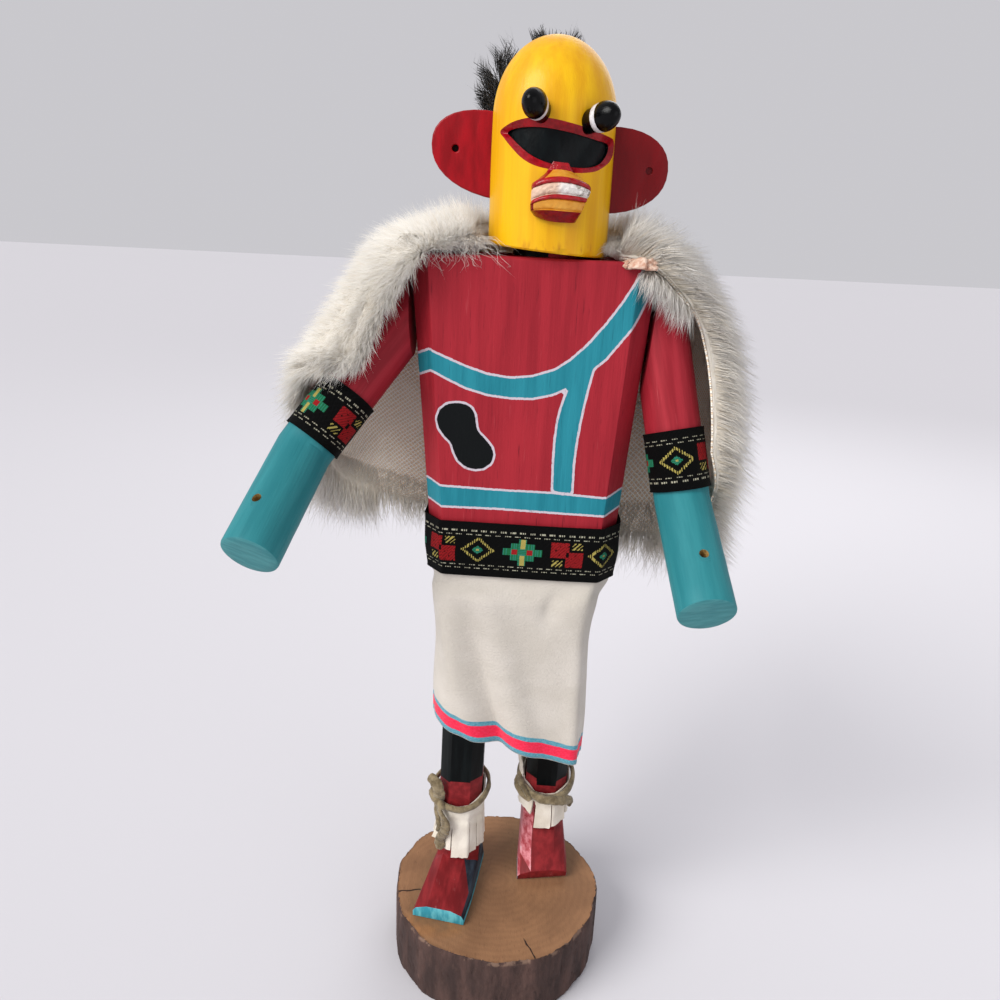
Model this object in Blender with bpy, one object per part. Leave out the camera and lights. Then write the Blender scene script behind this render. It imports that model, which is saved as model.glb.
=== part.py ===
"""Kachina doll: a carved and painted wooden figure, dressed in cloth, standing on a slice of log.

Metres, +Z up. The doll faces -Y. Its own right side is at -X.
The origin is the centre of the base's underside.
"""

import math

import bmesh
import bpy
from mathutils import Matrix, Vector

for old in list(bpy.data.objects):
    bpy.data.objects.remove(old, do_unlink=True)

# Clearance between pieces that touch
GAP = 0.0003

# Base
BASE_RADIUS = 0.0486
BASE_HEIGHT = 0.0305
BASE_RIM = 0.0009
BARK_WAVE = 0.0005

# Body block, heights above the base
BODY_X = 0.0032
BODY_Y = 0.0077
TORSO_TOP = 0.2895
TORSO_DEPTH = 0.0366
SHOULDER_WIDTH = 0.0942
SHOULDER_FRONT_WIDTH = 0.0790
CHAMFER_DEPTH = 0.0098
WAIST_HEIGHT = 0.1760
WAIST_WIDTH = 0.0768
WAIST_FRONT_WIDTH = 0.0636
WAIST_DEPTH = 0.0334
WAIST_LOW_DROP = 0.0125
WAIST_LOW_HEIGHT = WAIST_HEIGHT - WAIST_LOW_DROP
WAIST_LOW_WIDTH = 0.0736
WAIST_LOW_FRONT_WIDTH = 0.0612
WAIST_LOW_DEPTH = 0.0326
HIP_DROP = 0.0260
HIP_HEIGHT = WAIST_HEIGHT - HIP_DROP
HIP_WIDTH = 0.0580
HIP_FRONT_WIDTH = 0.0480
HIP_DEPTH = 0.0300
HIP_SINK = 0.0080
TORSO_EASE = 0.0008
TORSO_LEAN = 0.0009
NECK_RADIUS = 0.0130

# Legs and moccasins
LEG_WIDTH = 0.0198
LEG_SPREAD = 0.0400
LEG_CHAMFER = 0.26
RIGHT_TOE_X = -0.0283
RIGHT_TOE_Y = -0.0348
LEFT_TOE_X = 0.0188
LEFT_TOE_Y = -0.0051
FOOT_WIDTH = 0.0240
FOOT_LENGTH = 0.0500
FOOT_TOE_HEIGHT = 0.0062
FOOT_INSTEP_HEIGHT = 0.0135
RIGHT_INSTEP = 0.0260
LEFT_INSTEP = 0.0190
RIGHT_SPLAY = math.radians(9.2)
LEFT_SPLAY = math.radians(2.0)
LEFT_TOE_SKEW = math.radians(7.0)
SOLE_HEIGHT = 0.0026
LEFT_HEEL_LIFT = math.radians(20.0)

# Head
HEAD_RADIUS = 0.0228
HEAD_LENGTH = 0.0746
HEAD_DOME = 0.0280
HEAD_X = 0.0037
HEAD_GAP = 0.0048
HEAD_CUT = math.radians(4.5)
HEAD_EASE = 0.0007
FACE_TURN = math.radians(10.5)
FACE_TILT = math.radians(3.2)

# Mouth, carved into the head
MOUTH_HEIGHT = 0.0400
MOUTH_HALF_ANGLE = math.radians(61.0)
MOUTH_RISE = 0.0024
MOUTH_DROP = 0.0107
MOUTH_DEPTH = 0.0020

# Snout
SNOUT_TOP = 0.0285
SNOUT_HEIGHT = 0.0165
SNOUT_REACH = 0.0085
SNOUT_HALF_ANGLE = math.radians(23.5)

# Eyes
EYE_RADIUS = 0.0046
EYE_REACH = 0.0148
RIGHT_EYE_HEIGHT = 0.0468
LEFT_EYE_HEIGHT = 0.0450
RIGHT_EYE_ANGLE = math.radians(-25.0)
LEFT_EYE_ANGLE = math.radians(22.5)
EYE_SPLAY = math.radians(3.0)
EYE_LIFT = math.radians(8.0)

# Ears
RIGHT_EAR_REACH = 0.0225
LEFT_EAR_REACH = 0.0205
EAR_HALF_HEIGHT = 0.0153
EAR_THICKNESS = 0.0032
EAR_ROOT = 0.0036
EAR_HEIGHT = 0.0312
EAR_DROP = 0.0016
RIGHT_EAR_LIFT = math.radians(9.0)
LEFT_EAR_LIFT = math.radians(2.0)
EAR_HOLE_RADIUS = 0.0013
EAR_HOLE_PLACE = 0.0135

# Arms
ARM_RADIUS = 0.0110
SHOULDER_DROP = 0.0205
ARM_Y = 0.0085
RIGHT_ARM_REACH = SHOULDER_WIDTH / 2 + 0.0001
LEFT_ARM_REACH = SHOULDER_WIDTH / 2 + 0.0034
RIGHT_UPPER_SPREAD = math.radians(-35.8)
RIGHT_UPPER_FORWARD = math.radians(28.9)
RIGHT_FORE_SPREAD = math.radians(-18.8)
RIGHT_FORE_FORWARD = math.radians(54.0)
LEFT_UPPER_SPREAD = math.radians(11.5)
LEFT_UPPER_FORWARD = math.radians(14.3)
LEFT_FORE_SPREAD = math.radians(11.8)
LEFT_FORE_FORWARD = math.radians(55.0)
RIGHT_UPPER_ARM = 0.0706
RIGHT_FOREARM = 0.0500
LEFT_UPPER_ARM = 0.0712
LEFT_FOREARM = 0.0520
HAND_HOLE_RADIUS = 0.0018
RIGHT_HOLE_PLACE = 0.0176
LEFT_HOLE_PLACE = 0.0195
RIGHT_HOLE_LEAN = -0.16
LEFT_HOLE_LEAN = 0.0
HAND_HOLE_DEPTH = 0.0090

# Ribbons
RIBBON_WIDTH = 0.0233
RIBBON_THICKNESS = 0.0009
ARMBAND_ABOVE_ELBOW = 0.0050

# Kilt
KILT_THICKNESS = 0.0012
KILT_TUCK = 0.0060
KILT_LENGTH = 0.0832
KILT_HEM_SLANT = 0.0170
KILT_HEM_WIDTH = 0.0650
KILT_HEM_DEPTH = 0.0420
KILT_HEM_BACK = 0.0015
KILT_HEM_SHIFT = 0.0006
KILT_FOLD = 0.0007
KILT_FALL_START = 0.085
KILT_FALL_END = 0.200

# Cape
CAPE_THICKNESS = 0.0070
CAPE_LENGTH = 0.1210
CAPE_TUFT = 0.0022
CAPE_SLACK = 0.0020
CAPE_STEP = SHOULDER_WIDTH / 94.2
CAPE_COLUMNS = 36
CAPE_ROWS = 12
CAPE_LOCKS = 22
CAPE_FRINGE = 0.0060
CAPE_TOOTH = 0.0030

# Cuffs and laces
RIGHT_CUFF_HEIGHT = 0.0290
LEFT_CUFF_HEIGHT = 0.0240
CUFF_THICKNESS = 0.0011
CUFF_SLACK = 0.0004
CUFF_TABS = 12
CUFF_NOTCH = 0.0060
CUFF_ROUNDING = 1.085
CUFF_START = 0.0040
CUFF_WAVE = 0.0012
CUFF_FLARE = 0.0006
CUFF_FLARE_HEIGHT = 0.0080
LACE_DROP = 0.0022
LACE_RADIUS = 0.0015

# Feathers
FEATHER_LENGTH = 0.0330
FEATHER_WIDTH = 0.0050
FEATHER_THICKNESS = 0.0012
FEATHER_OFF_MIDDLE = -0.0070
FEATHER_STAND_OFF = 0.0020
FEATHER_KNOT_DROP = 0.0260
FEATHER_KNOT_DEPTH = 0.0075
FEATHER_KNOT_RADIUS = 0.0065
FEATHER_SHIFT = 0.0007
# Angle of each blade from upright, in degrees, and its length as a share of FEATHER_LENGTH.
FEATHER_FAN = [
    (-96, 0.72), (-84, 0.90), (-72, 1.0), (-60, 1.12), (-48, 1.08), (-34, 1.0), (-20, 0.94),
    (-7, 1.0), (6, 1.02), (19, 1.0), (34, 0.86), (52, 0.72), (74, 0.6),
]

BASE_TOP = BASE_HEIGHT + GAP
HEAD_BOTTOM = BASE_TOP + TORSO_TOP + HEAD_GAP
HEAD_CENTRE = Vector((BODY_X + HEAD_X, BODY_Y - 0.0005, 0.0))


def material(name, color, roughness):
    made = bpy.data.materials.new(name)
    made.use_nodes = True
    shader = made.node_tree.nodes["Principled BSDF"]
    shader.inputs["Base Color"].default_value = (*color, 1.0)
    shader.inputs["Roughness"].default_value = roughness
    made.diffuse_color = (*color, 1.0)
    return made


BARK = material("bark_wood", (0.16, 0.08, 0.045), 0.8)
RED = material("red_paint", (0.36, 0.025, 0.035), 0.6)
YELLOW = material("yellow_paint", (0.80, 0.47, 0.015), 0.4)
GLOSS_RED = material("gloss_red_paint", (0.42, 0.008, 0.02), 0.3)
BLACK = material("black_paint", (0.01, 0.01, 0.012), 0.3)
RIBBON = material("woven_ribbon", (0.02, 0.02, 0.02), 0.7)
CLOTH = material("kilt_cloth", (0.72, 0.68, 0.60), 0.9)
PILE = material("white_pile", (0.80, 0.76, 0.70), 0.9)
LEATHER = material("white_leather", (0.75, 0.70, 0.62), 0.8)
LACE = material("tan_lace", (0.25, 0.19, 0.12), 0.85)
DOWN = material("black_down", (0.015, 0.015, 0.02), 0.9)


def new_object(name, mesh_data, surface, smooth_angle=None):
    mesh = bpy.data.meshes.new(name)
    mesh_data.to_mesh(mesh)
    mesh_data.free()
    if smooth_angle:
        mesh.shade_smooth()
        mesh.set_sharp_from_angle(angle=smooth_angle)
    made = bpy.data.objects.new(name, mesh)
    made.data.materials.append(surface)
    bpy.context.scene.collection.objects.link(made)
    return made


def loft(rings, closed_path=False):
    """Skin a row of rings that all have the same number of points."""
    body = bmesh.new()
    rows = [[body.verts.new(point) for point in ring] for ring in rings]
    count = len(rows[0])
    pairs = list(zip(rows, rows[1:]))
    if closed_path:
        pairs.append((rows[-1], rows[0]))
    for low, high in pairs:
        for i in range(count):
            j = (i + 1) % count
            body.faces.new((low[i], low[j], high[j], high[i]))
    if not closed_path:
        body.faces.new(rows[0][::-1])
        body.faces.new(rows[-1])
    bmesh.ops.recalc_face_normals(body, faces=body.faces)
    return body


def boolean(target, other, operation):
    step = target.modifiers.new(operation.lower(), "BOOLEAN")
    step.operation = operation
    step.solver = "EXACT"
    step.object = other
    other.hide_render = True
    other.display_type = "WIRE"


def block_ring(z, width, front_width, depth, chamfer, middle_x, grow=0.0, steps=1):
    """Section of the body block: a rectangle with its four upright corners cut off."""
    wide = width / 2 + grow
    front = front_width / 2 + grow * 0.6
    deep = depth / 2 + grow
    side = deep - chamfer + grow * 0.4
    corners = [
        (front, -deep), (wide, -side), (wide, side), (front, deep),
        (-front, deep), (-wide, side), (-wide, -side), (-front, -deep),
    ]
    points = []
    for (x0, y0), (x1, y1) in zip(corners, corners[1:] + corners[:1]):
        for i in range(steps):
            t = i / steps
            points.append(Vector((middle_x + x0 + (x1 - x0) * t, BODY_Y + y0 + (y1 - y0) * t, z)))
    return points


def body_section(height, grow=0.0, steps=1):
    """The block at a height above the base: shoulders, waist and hips joined by straight tapers."""
    levels = [
        (HIP_HEIGHT, HIP_WIDTH, HIP_FRONT_WIDTH, HIP_DEPTH),
        (WAIST_LOW_HEIGHT, WAIST_LOW_WIDTH, WAIST_LOW_FRONT_WIDTH, WAIST_LOW_DEPTH),
        (WAIST_HEIGHT, WAIST_WIDTH, WAIST_FRONT_WIDTH, WAIST_DEPTH),
        (TORSO_TOP, SHOULDER_WIDTH, SHOULDER_FRONT_WIDTH, TORSO_DEPTH),
    ]
    k = sum(height >= level[0] for level in levels[1:-1])
    low, high = levels[k], levels[k + 1]
    t = (height - low[0]) / (high[0] - low[0])
    width, front, depth = [a + (b - a) * t for a, b in zip(low[1:], high[1:])]
    lean = BODY_X - TORSO_LEAN * (height - WAIST_HEIGHT) / (TORSO_TOP - WAIST_HEIGHT)
    return block_ring(BASE_TOP + height, width, front, depth, CHAMFER_DEPTH, lean, grow, steps)


def torso_rings(grow=0.0):
    heights = [HIP_HEIGHT - grow, WAIST_LOW_HEIGHT, WAIST_HEIGHT, TORSO_TOP - TORSO_EASE]
    rings = [body_section(height, grow) for height in heights]
    top = body_section(TORSO_TOP, grow - TORSO_EASE)
    rings.append([point + Vector((0.0, 0.0, grow)) for point in top])
    return rings


def octagon(centre, half, chamfer=LEG_CHAMFER):
    """Upright leg section: a square whose corners are cut by a share of its width."""
    cut = half * (1.0 - 2.0 * chamfer)
    shape = [
        (cut, -half), (half, -cut), (half, cut), (cut, half),
        (-cut, half), (-half, cut), (-half, -cut), (-cut, -half),
    ]
    return [centre + Vector((x, y, 0.0)) for x, y in shape]


def foot_place(side):
    """The toe's middle on the base, and the turns that splay the foot and lift its heel."""
    if side > 0:
        return Vector((BODY_X + LEFT_TOE_X, BODY_Y + LEFT_TOE_Y, BASE_TOP)), LEFT_SPLAY, LEFT_HEEL_LIFT
    return Vector((BODY_X + RIGHT_TOE_X, BODY_Y + RIGHT_TOE_Y, BASE_TOP)), -RIGHT_SPLAY, 0.0


def on_foot(side, across, along, high):
    """A place on the foot: across it, back from the toe, and up from the sole."""
    toe, splay, lift = foot_place(side)
    point = Matrix.Rotation(lift, 4, "X") @ Vector((across, along, high))
    return toe + Matrix.Rotation(splay, 4, "Z") @ point


def instep(side):
    return LEFT_INSTEP if side > 0 else RIGHT_INSTEP


def ankle_centre(side):
    return on_foot(side, 0.0, instep(side) + LEG_WIDTH / 2, FOOT_INSTEP_HEIGHT)


def leg_rings(side):
    hip = Vector((BODY_X - TORSO_LEAN + side * LEG_SPREAD / 2, BODY_Y, BASE_TOP + HIP_HEIGHT + HIP_SINK))
    ankle = on_foot(side, 0.0, instep(side) + LEG_WIDTH / 2, FOOT_INSTEP_HEIGHT * 0.6)
    half = LEG_WIDTH / 2
    return [octagon(ankle, half), octagon(hip, half * 0.98)]


def foot_rings(side):
    """Moccasin sections from the toe to the heel."""
    half = FOOT_WIDTH / 2
    back = instep(side) + FOOT_LENGTH - RIGHT_INSTEP
    front = instep(side)
    stations = [
        (0.0, half, FOOT_TOE_HEIGHT),
        (front * 0.55, half * 1.01, FOOT_TOE_HEIGHT + (FOOT_INSTEP_HEIGHT - FOOT_TOE_HEIGHT) * 0.45),
        (front, half * 0.97, FOOT_INSTEP_HEIGHT),
        (back - 0.004, half * 0.88, FOOT_INSTEP_HEIGHT + 0.001),
        (back, half * 0.74, FOOT_INSTEP_HEIGHT - 0.002),
    ]
    skew = math.tan(LEFT_TOE_SKEW) if side > 0 else 0.0
    rings = []
    for along, wide, high in stations:
        flat = wide * 0.46
        shoulder = SOLE_HEIGHT + (high - SOLE_HEIGHT) * 0.52
        shape = [
            (-wide, 0.0), (wide, 0.0), (wide, SOLE_HEIGHT), (wide * 0.9, shoulder),
            (flat, high), (-flat, high), (-wide * 0.9, shoulder), (-wide, SOLE_HEIGHT),
        ]
        skewed = skew * max(0.0, 1.0 - along / front)
        rings.append([on_foot(side, x, along + skewed * (x + half), z) for x, z in shape])
    return rings


def cylinder_between(start, end, radius, sides, turn=0.0):
    axis = (end - start).normalized()
    across = axis.orthogonal().normalized()
    up = axis.cross(across)
    rings = []
    for place in (start, end):
        ring = []
        for i in range(sides):
            angle = turn + math.tau * i / sides
            ring.append(place + radius * (math.cos(angle) * across + math.sin(angle) * up))
        rings.append(ring)
    return loft(rings)


# Base
def make_base():
    sides = 64
    rings = []
    for z, inset in ((0.0, 0.0006), (0.0012, 0.0), (BASE_HEIGHT - BASE_RIM, 0.0), (BASE_HEIGHT, BASE_RIM)):
        ring = []
        for i in range(sides):
            angle = math.tau * i / sides
            wave = math.sin(5 * angle + 0.7) + 0.6 * math.sin(11 * angle) + 0.4 * math.sin(17 * angle + 2.0)
            radius = BASE_RADIUS - inset + BARK_WAVE * wave
            ring.append(Vector((radius * math.cos(angle), radius * math.sin(angle), z)))
        rings.append(ring)
    return new_object("base", loft(rings), BARK, math.radians(30))


# Body
def head_cut_height(x):
    """Height of the head's slanted underside above a place across the doll."""
    return HEAD_BOTTOM - math.tan(HEAD_CUT) * (x - HEAD_CENTRE.x)


def neck_mesh():
    sides = 20
    rings = []
    for level in range(2):
        ring = []
        for i in range(sides):
            angle = math.tau * i / sides
            x = HEAD_CENTRE.x + NECK_RADIUS * math.cos(angle)
            y = HEAD_CENTRE.y + NECK_RADIUS * math.sin(angle)
            z = head_cut_height(x) - GAP if level else BASE_TOP + TORSO_TOP - 0.004
            ring.append(Vector((x, y, z)))
        rings.append(ring)
    return loft(rings)


def make_body():
    body = new_object("body", loft(torso_rings()), RED)
    boolean(body, new_object("neck_shape", neck_mesh(), RED), "UNION")
    for side in (-1, 1):
        boolean(body, new_object(f"leg_shape_{side}", loft(leg_rings(side)), RED), "UNION")
        boolean(body, new_object(f"foot_shape_{side}", loft(foot_rings(side)), RED), "UNION")
    return body


# Head
def head_profile(grow=0.0):
    """Radius and height from the underside to the crown."""
    shoulder = HEAD_LENGTH - HEAD_DOME
    steps = 9
    wall = HEAD_RADIUS + grow
    profile = [(wall - HEAD_EASE, -grow), (wall, HEAD_EASE), (wall, shoulder)]
    for i in range(1, steps):
        angle = math.pi / 2 * i / steps
        reach = (HEAD_RADIUS + grow) * math.cos(angle)
        profile.append((reach, shoulder + (HEAD_DOME + grow) * math.sin(angle)))
    return profile


def head_mesh(grow=0.0):
    sides = 40
    body = bmesh.new()
    rows = []
    for radius, height in head_profile(grow):
        row = []
        fade = max(0.0, 1.0 - height / (HEAD_LENGTH * 0.4))
        for i in range(sides):
            angle = math.tau * i / sides
            x = HEAD_CENTRE.x + radius * math.sin(angle)
            y = HEAD_CENTRE.y - radius * math.cos(angle)
            slant = (head_cut_height(x) - HEAD_BOTTOM) * fade
            row.append(body.verts.new((x, y, HEAD_BOTTOM + height + slant)))
        rows.append(row)
    for low, high in zip(rows, rows[1:]):
        for i in range(sides):
            j = (i + 1) % sides
            body.faces.new((low[i], low[j], high[j], high[i]))
    body.faces.new(rows[0][::-1])
    crown = body.verts.new((HEAD_CENTRE.x, HEAD_CENTRE.y, HEAD_BOTTOM + HEAD_LENGTH + grow))
    for i in range(sides):
        body.faces.new((rows[-1][i], rows[-1][(i + 1) % sides], crown))
    bmesh.ops.recalc_face_normals(body, faces=body.faces)
    return body


def on_face(angle, height, radius):
    """A place on the head: an angle from the middle of the face and a height above the underside."""
    turn = FACE_TURN + angle
    tilt = -math.sin(FACE_TILT) * HEAD_RADIUS * math.sin(angle)
    x = HEAD_CENTRE.x + radius * math.sin(turn)
    y = HEAD_CENTRE.y - radius * math.cos(turn)
    return Vector((x, y, HEAD_BOTTOM + height + tilt))


def mouth_mesh():
    """The crescent that is cut out of the head, wider at the surface than at its floor."""
    columns = 20
    layers = ((HEAD_RADIUS + 0.001, 1.0, 0.0), (HEAD_RADIUS - MOUTH_DEPTH, 0.93, 0.0008))
    body = bmesh.new()
    grid = []
    for radius, share, inset in layers:
        upper, lower = [], []
        for i in range(columns + 1):
            t = -1.0 + 2.0 * i / columns
            swell = 1.0 - t * t
            angle = MOUTH_HALF_ANGLE * share * t
            top = MOUTH_HEIGHT + (MOUTH_RISE - inset) * swell
            bottom = MOUTH_HEIGHT - (MOUTH_DROP - inset) * swell ** 0.8
            upper.append(body.verts.new(on_face(angle, top, radius)))
            if 0 < i < columns:
                lower.append(body.verts.new(on_face(angle, bottom, radius)))
        grid.append(upper + lower[::-1])
    outer, inner = grid
    count = len(outer)
    for i in range(count):
        j = (i + 1) % count
        body.faces.new((outer[i], outer[j], inner[j], inner[i]))
    for loop in grid:
        body.faces.new((loop[0], loop[1], loop[-1]))
        for i in range(1, columns - 1):
            body.faces.new((loop[i], loop[i + 1], loop[-i - 1], loop[-i]))
        body.faces.new((loop[columns - 1], loop[columns], loop[columns + 1]))
    bmesh.ops.recalc_face_normals(body, faces=body.faces)
    return body


def ear_mesh(side, grow=0.0):
    """A flat half round with its root let into the head."""
    root = HEAD_CENTRE.x + side * (HEAD_RADIUS - EAR_ROOT)
    middle = HEAD_BOTTOM + EAR_HEIGHT - side * EAR_DROP
    steps = 18
    outline = []
    reach = RIGHT_EAR_REACH if side < 0 else LEFT_EAR_REACH
    lift = RIGHT_EAR_LIFT if side < 0 else LEFT_EAR_LIFT
    for i in range(steps + 1):
        angle = -math.pi / 2 + math.pi * i / steps
        along = (reach + EAR_ROOT + grow) * abs(math.cos(angle)) ** 0.85
        high = (EAR_HALF_HEIGHT + grow) * math.copysign(abs(math.sin(angle)) ** 0.9, math.sin(angle))
        high += along * math.sin(lift) * 0.9
        outline.append((along, high))
    outline.insert(0, (-grow, outline[0][1]))
    outline.append((-grow, outline[-1][1]))
    rings = []
    for y in (-EAR_THICKNESS / 2 - grow, EAR_THICKNESS / 2 + grow):
        rings.append([Vector((root + side * x, HEAD_CENTRE.y + y, middle + z)) for x, z in outline])
    return loft(rings)


def make_ear(name, side):
    ear = new_object(name, ear_mesh(side), GLOSS_RED)
    place = HEAD_CENTRE.x + side * (HEAD_RADIUS + EAR_HOLE_PLACE)
    lift = RIGHT_EAR_LIFT if side < 0 else LEFT_EAR_LIFT
    height = HEAD_BOTTOM + EAR_HEIGHT - side * EAR_DROP + (EAR_HOLE_PLACE + EAR_ROOT) * math.sin(lift) * 0.9
    start = Vector((place, HEAD_CENTRE.y - EAR_THICKNESS, height))
    end = Vector((place, HEAD_CENTRE.y + EAR_THICKNESS, height))
    drill = new_object(f"{name}_drill", cylinder_between(start, end, EAR_HOLE_RADIUS, 12), GLOSS_RED)
    boolean(ear, drill, "DIFFERENCE")
    return ear


def make_head():
    head = new_object("head", head_mesh(), YELLOW, math.radians(35))
    boolean(head, new_object("mouth_cutter", mouth_mesh(), BLACK), "DIFFERENCE")
    for side in (-1, 1):
        kerf = new_object(f"kerf_{side}", ear_mesh(side, GAP), BLACK)
        boolean(head, kerf, "DIFFERENCE")
    return head


def make_snout():
    """Lips and chin as a row of sections from side to side, its back hollowed to sit on the head."""
    profile = [
        (0.00, 0.10), (0.04, 0.16), (0.17, 0.88), (0.26, 1.00), (0.48, 0.96),
        (0.56, 1.02), (0.66, 0.98), (0.72, 0.82), (0.96, 0.22), (1.00, 0.10),
    ]
    columns = 10
    inner = HEAD_RADIUS + GAP
    rings = []
    for i in range(columns + 1):
        t = -1.0 + 2.0 * i / columns
        angle = SNOUT_HALF_ANGLE * t
        bulge = 0.62 + 0.38 * math.sqrt(max(0.0, 1.0 - t * t))
        crown = 0.0016 * t * t
        ring = []
        for drop, reach in profile:
            height = SNOUT_TOP - crown * (1.0 - drop) - SNOUT_HEIGHT * drop
            ring.append(on_face(angle, height, inner + SNOUT_REACH * reach * bulge))
        ring.append(on_face(angle, SNOUT_TOP - SNOUT_HEIGHT, inner))
        ring.append(on_face(angle, SNOUT_TOP - crown, inner))
        rings.append(ring)
    return new_object("snout", loft(rings), GLOSS_RED, math.radians(40))


def make_eye(name, side, head_clearance):
    """A short peg with a rounded, slightly oval end, set on the curve of the head."""
    place, height = (LEFT_EYE_ANGLE, LEFT_EYE_HEIGHT) if side > 0 else (RIGHT_EYE_ANGLE, RIGHT_EYE_HEIGHT)
    turn = FACE_TURN + place
    foot = on_face(place, height, HEAD_RADIUS - 0.003)
    point = turn + side * EYE_SPLAY
    axis = Vector((math.sin(point), -math.cos(point), math.tan(EYE_LIFT))).normalized()
    across = axis.cross(Vector((0.0, 0.0, 1.0))).normalized()
    up = across.cross(axis)
    profile = [
        (0.0, 0.94), (0.42, 0.94), (0.47, 1.04), (0.62, 1.08), (0.76, 1.0), (0.88, 0.80), (0.96, 0.48),
    ]
    sides = 16
    body = bmesh.new()
    length = EYE_REACH + 0.003
    rows = []
    for along, wide in profile:
        row = []
        for i in range(sides):
            angle = math.tau * i / sides
            spread = EYE_RADIUS * wide * (0.92 * math.cos(angle) * across + 1.06 * math.sin(angle) * up)
            row.append(body.verts.new(foot + axis * along * length + spread))
        rows.append(row)
    for low, high in zip(rows, rows[1:]):
        for i in range(sides):
            j = (i + 1) % sides
            body.faces.new((low[i], low[j], high[j], high[i]))
    body.faces.new(rows[0][::-1])
    tip = body.verts.new(foot + axis * length)
    for i in range(sides):
        body.faces.new((rows[-1][i], rows[-1][(i + 1) % sides], tip))
    bmesh.ops.recalc_face_normals(body, faces=body.faces)
    eye = new_object(name, body, BLACK, math.radians(40))
    boolean(eye, head_clearance, "DIFFERENCE")
    return eye


# Arms
def slant(spread, forward):
    """Direction down an arm, from its angle outward and its angle forward of upright."""
    return Vector((math.tan(spread), -math.tan(forward), -1.0)).normalized()


ARM_SHAPES = {
    "right": (-1, RIGHT_ARM_REACH, slant(RIGHT_UPPER_SPREAD, RIGHT_UPPER_FORWARD), RIGHT_UPPER_ARM,
              slant(RIGHT_FORE_SPREAD, RIGHT_FORE_FORWARD), RIGHT_FOREARM),
    "left": (1, LEFT_ARM_REACH, slant(LEFT_UPPER_SPREAD, LEFT_UPPER_FORWARD), LEFT_UPPER_ARM,
             slant(LEFT_FORE_SPREAD, LEFT_FORE_FORWARD), LEFT_FOREARM),
}

HAND_HOLES = {"right": (RIGHT_HOLE_PLACE, RIGHT_HOLE_LEAN), "left": (LEFT_HOLE_PLACE, LEFT_HOLE_LEAN)}


def arm_points(key):
    side, reach, upper, upper_length, fore, fore_length = ARM_SHAPES[key]
    shoulder = Vector((BODY_X - TORSO_LEAN + side * reach, ARM_Y, BASE_TOP + TORSO_TOP - SHOULDER_DROP))
    elbow = shoulder + upper * upper_length
    hand = elbow + fore * fore_length
    return shoulder, elbow, hand


def arm_mesh(key, grow=0.0):
    """A dowel mitred at the elbow."""
    shoulder, elbow, hand = arm_points(key)
    upper = (elbow - shoulder).normalized()
    fore = (hand - elbow).normalized()
    mitre = (upper + fore).normalized()
    side = upper.cross(fore).normalized()
    front = side.cross(upper)
    start = shoulder - upper * ARM_RADIUS * 0.9
    sides = 28
    radius = ARM_RADIUS + grow
    rings = []
    for stage in range(3):
        ring = []
        for i in range(sides):
            angle = math.tau * (i + 0.5) / sides
            spoke = radius * (math.cos(angle) * side + math.sin(angle) * front)
            point = elbow + spoke
            if stage == 0:
                point = start + spoke
            if stage > 0:
                point -= upper * (spoke.dot(mitre) / upper.dot(mitre))
            if stage == 2:
                ahead = hand + fore * grow - point
                point += fore * ahead.dot(fore)
            ring.append(point)
        rings.append(ring)
    return loft(rings)


def make_arm(key, torso_clearance):
    arm = new_object(f"{key}_arm", arm_mesh(key), RED, math.radians(30))
    boolean(arm, torso_clearance, "DIFFERENCE")
    elbow, hand = arm_points(key)[1:]
    fore = (hand - elbow).normalized()
    along, lean = HAND_HOLES[key]
    place = hand - fore * along
    out = Vector((lean, -0.25, 1.0))
    out = (out - fore * out.dot(fore)).normalized()
    start = place + out * (ARM_RADIUS - HAND_HOLE_DEPTH)
    end = place + out * (ARM_RADIUS + 0.002)
    drill = new_object(f"{key}_hand_drill", cylinder_between(start, end, HAND_HOLE_RADIUS, 12), RED)
    boolean(arm, drill, "DIFFERENCE")
    return arm


def make_armband(key):
    shoulder, elbow = arm_points(key)[:2]
    upper = (elbow - shoulder).normalized()
    low = elbow - upper * ARMBAND_ABOVE_ELBOW
    high = low - upper * RIBBON_WIDTH
    across = upper.orthogonal().normalized()
    up = upper.cross(across)
    inner = ARM_RADIUS + GAP
    outer = inner + RIBBON_THICKNESS
    sides = 32
    rings = []
    for i in range(sides):
        angle = math.tau * i / sides
        spoke = math.cos(angle) * across + math.sin(angle) * up
        rings.append([low + spoke * inner, low + spoke * outer, high + spoke * outer, high + spoke * inner])
    return new_object(f"{key}_armband", loft(rings, closed_path=True), RIBBON, math.radians(30))


# Belt and kilt
BELT_TOP = WAIST_HEIGHT + RIBBON_WIDTH / 2
BELT_BOTTOM = WAIST_HEIGHT - RIBBON_WIDTH / 2


def make_belt():
    inner = KILT_THICKNESS + 2 * GAP
    outer = inner + RIBBON_THICKNESS
    steps = 3
    rows = [
        body_section(BELT_BOTTOM, inner, steps), body_section(BELT_BOTTOM, outer, steps),
        body_section(BELT_TOP, outer, steps), body_section(BELT_TOP, inner, steps),
    ]
    rings = [list(column) for column in zip(*rows)]
    return new_object("belt", loft(rings, closed_path=True), RIBBON)


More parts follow.
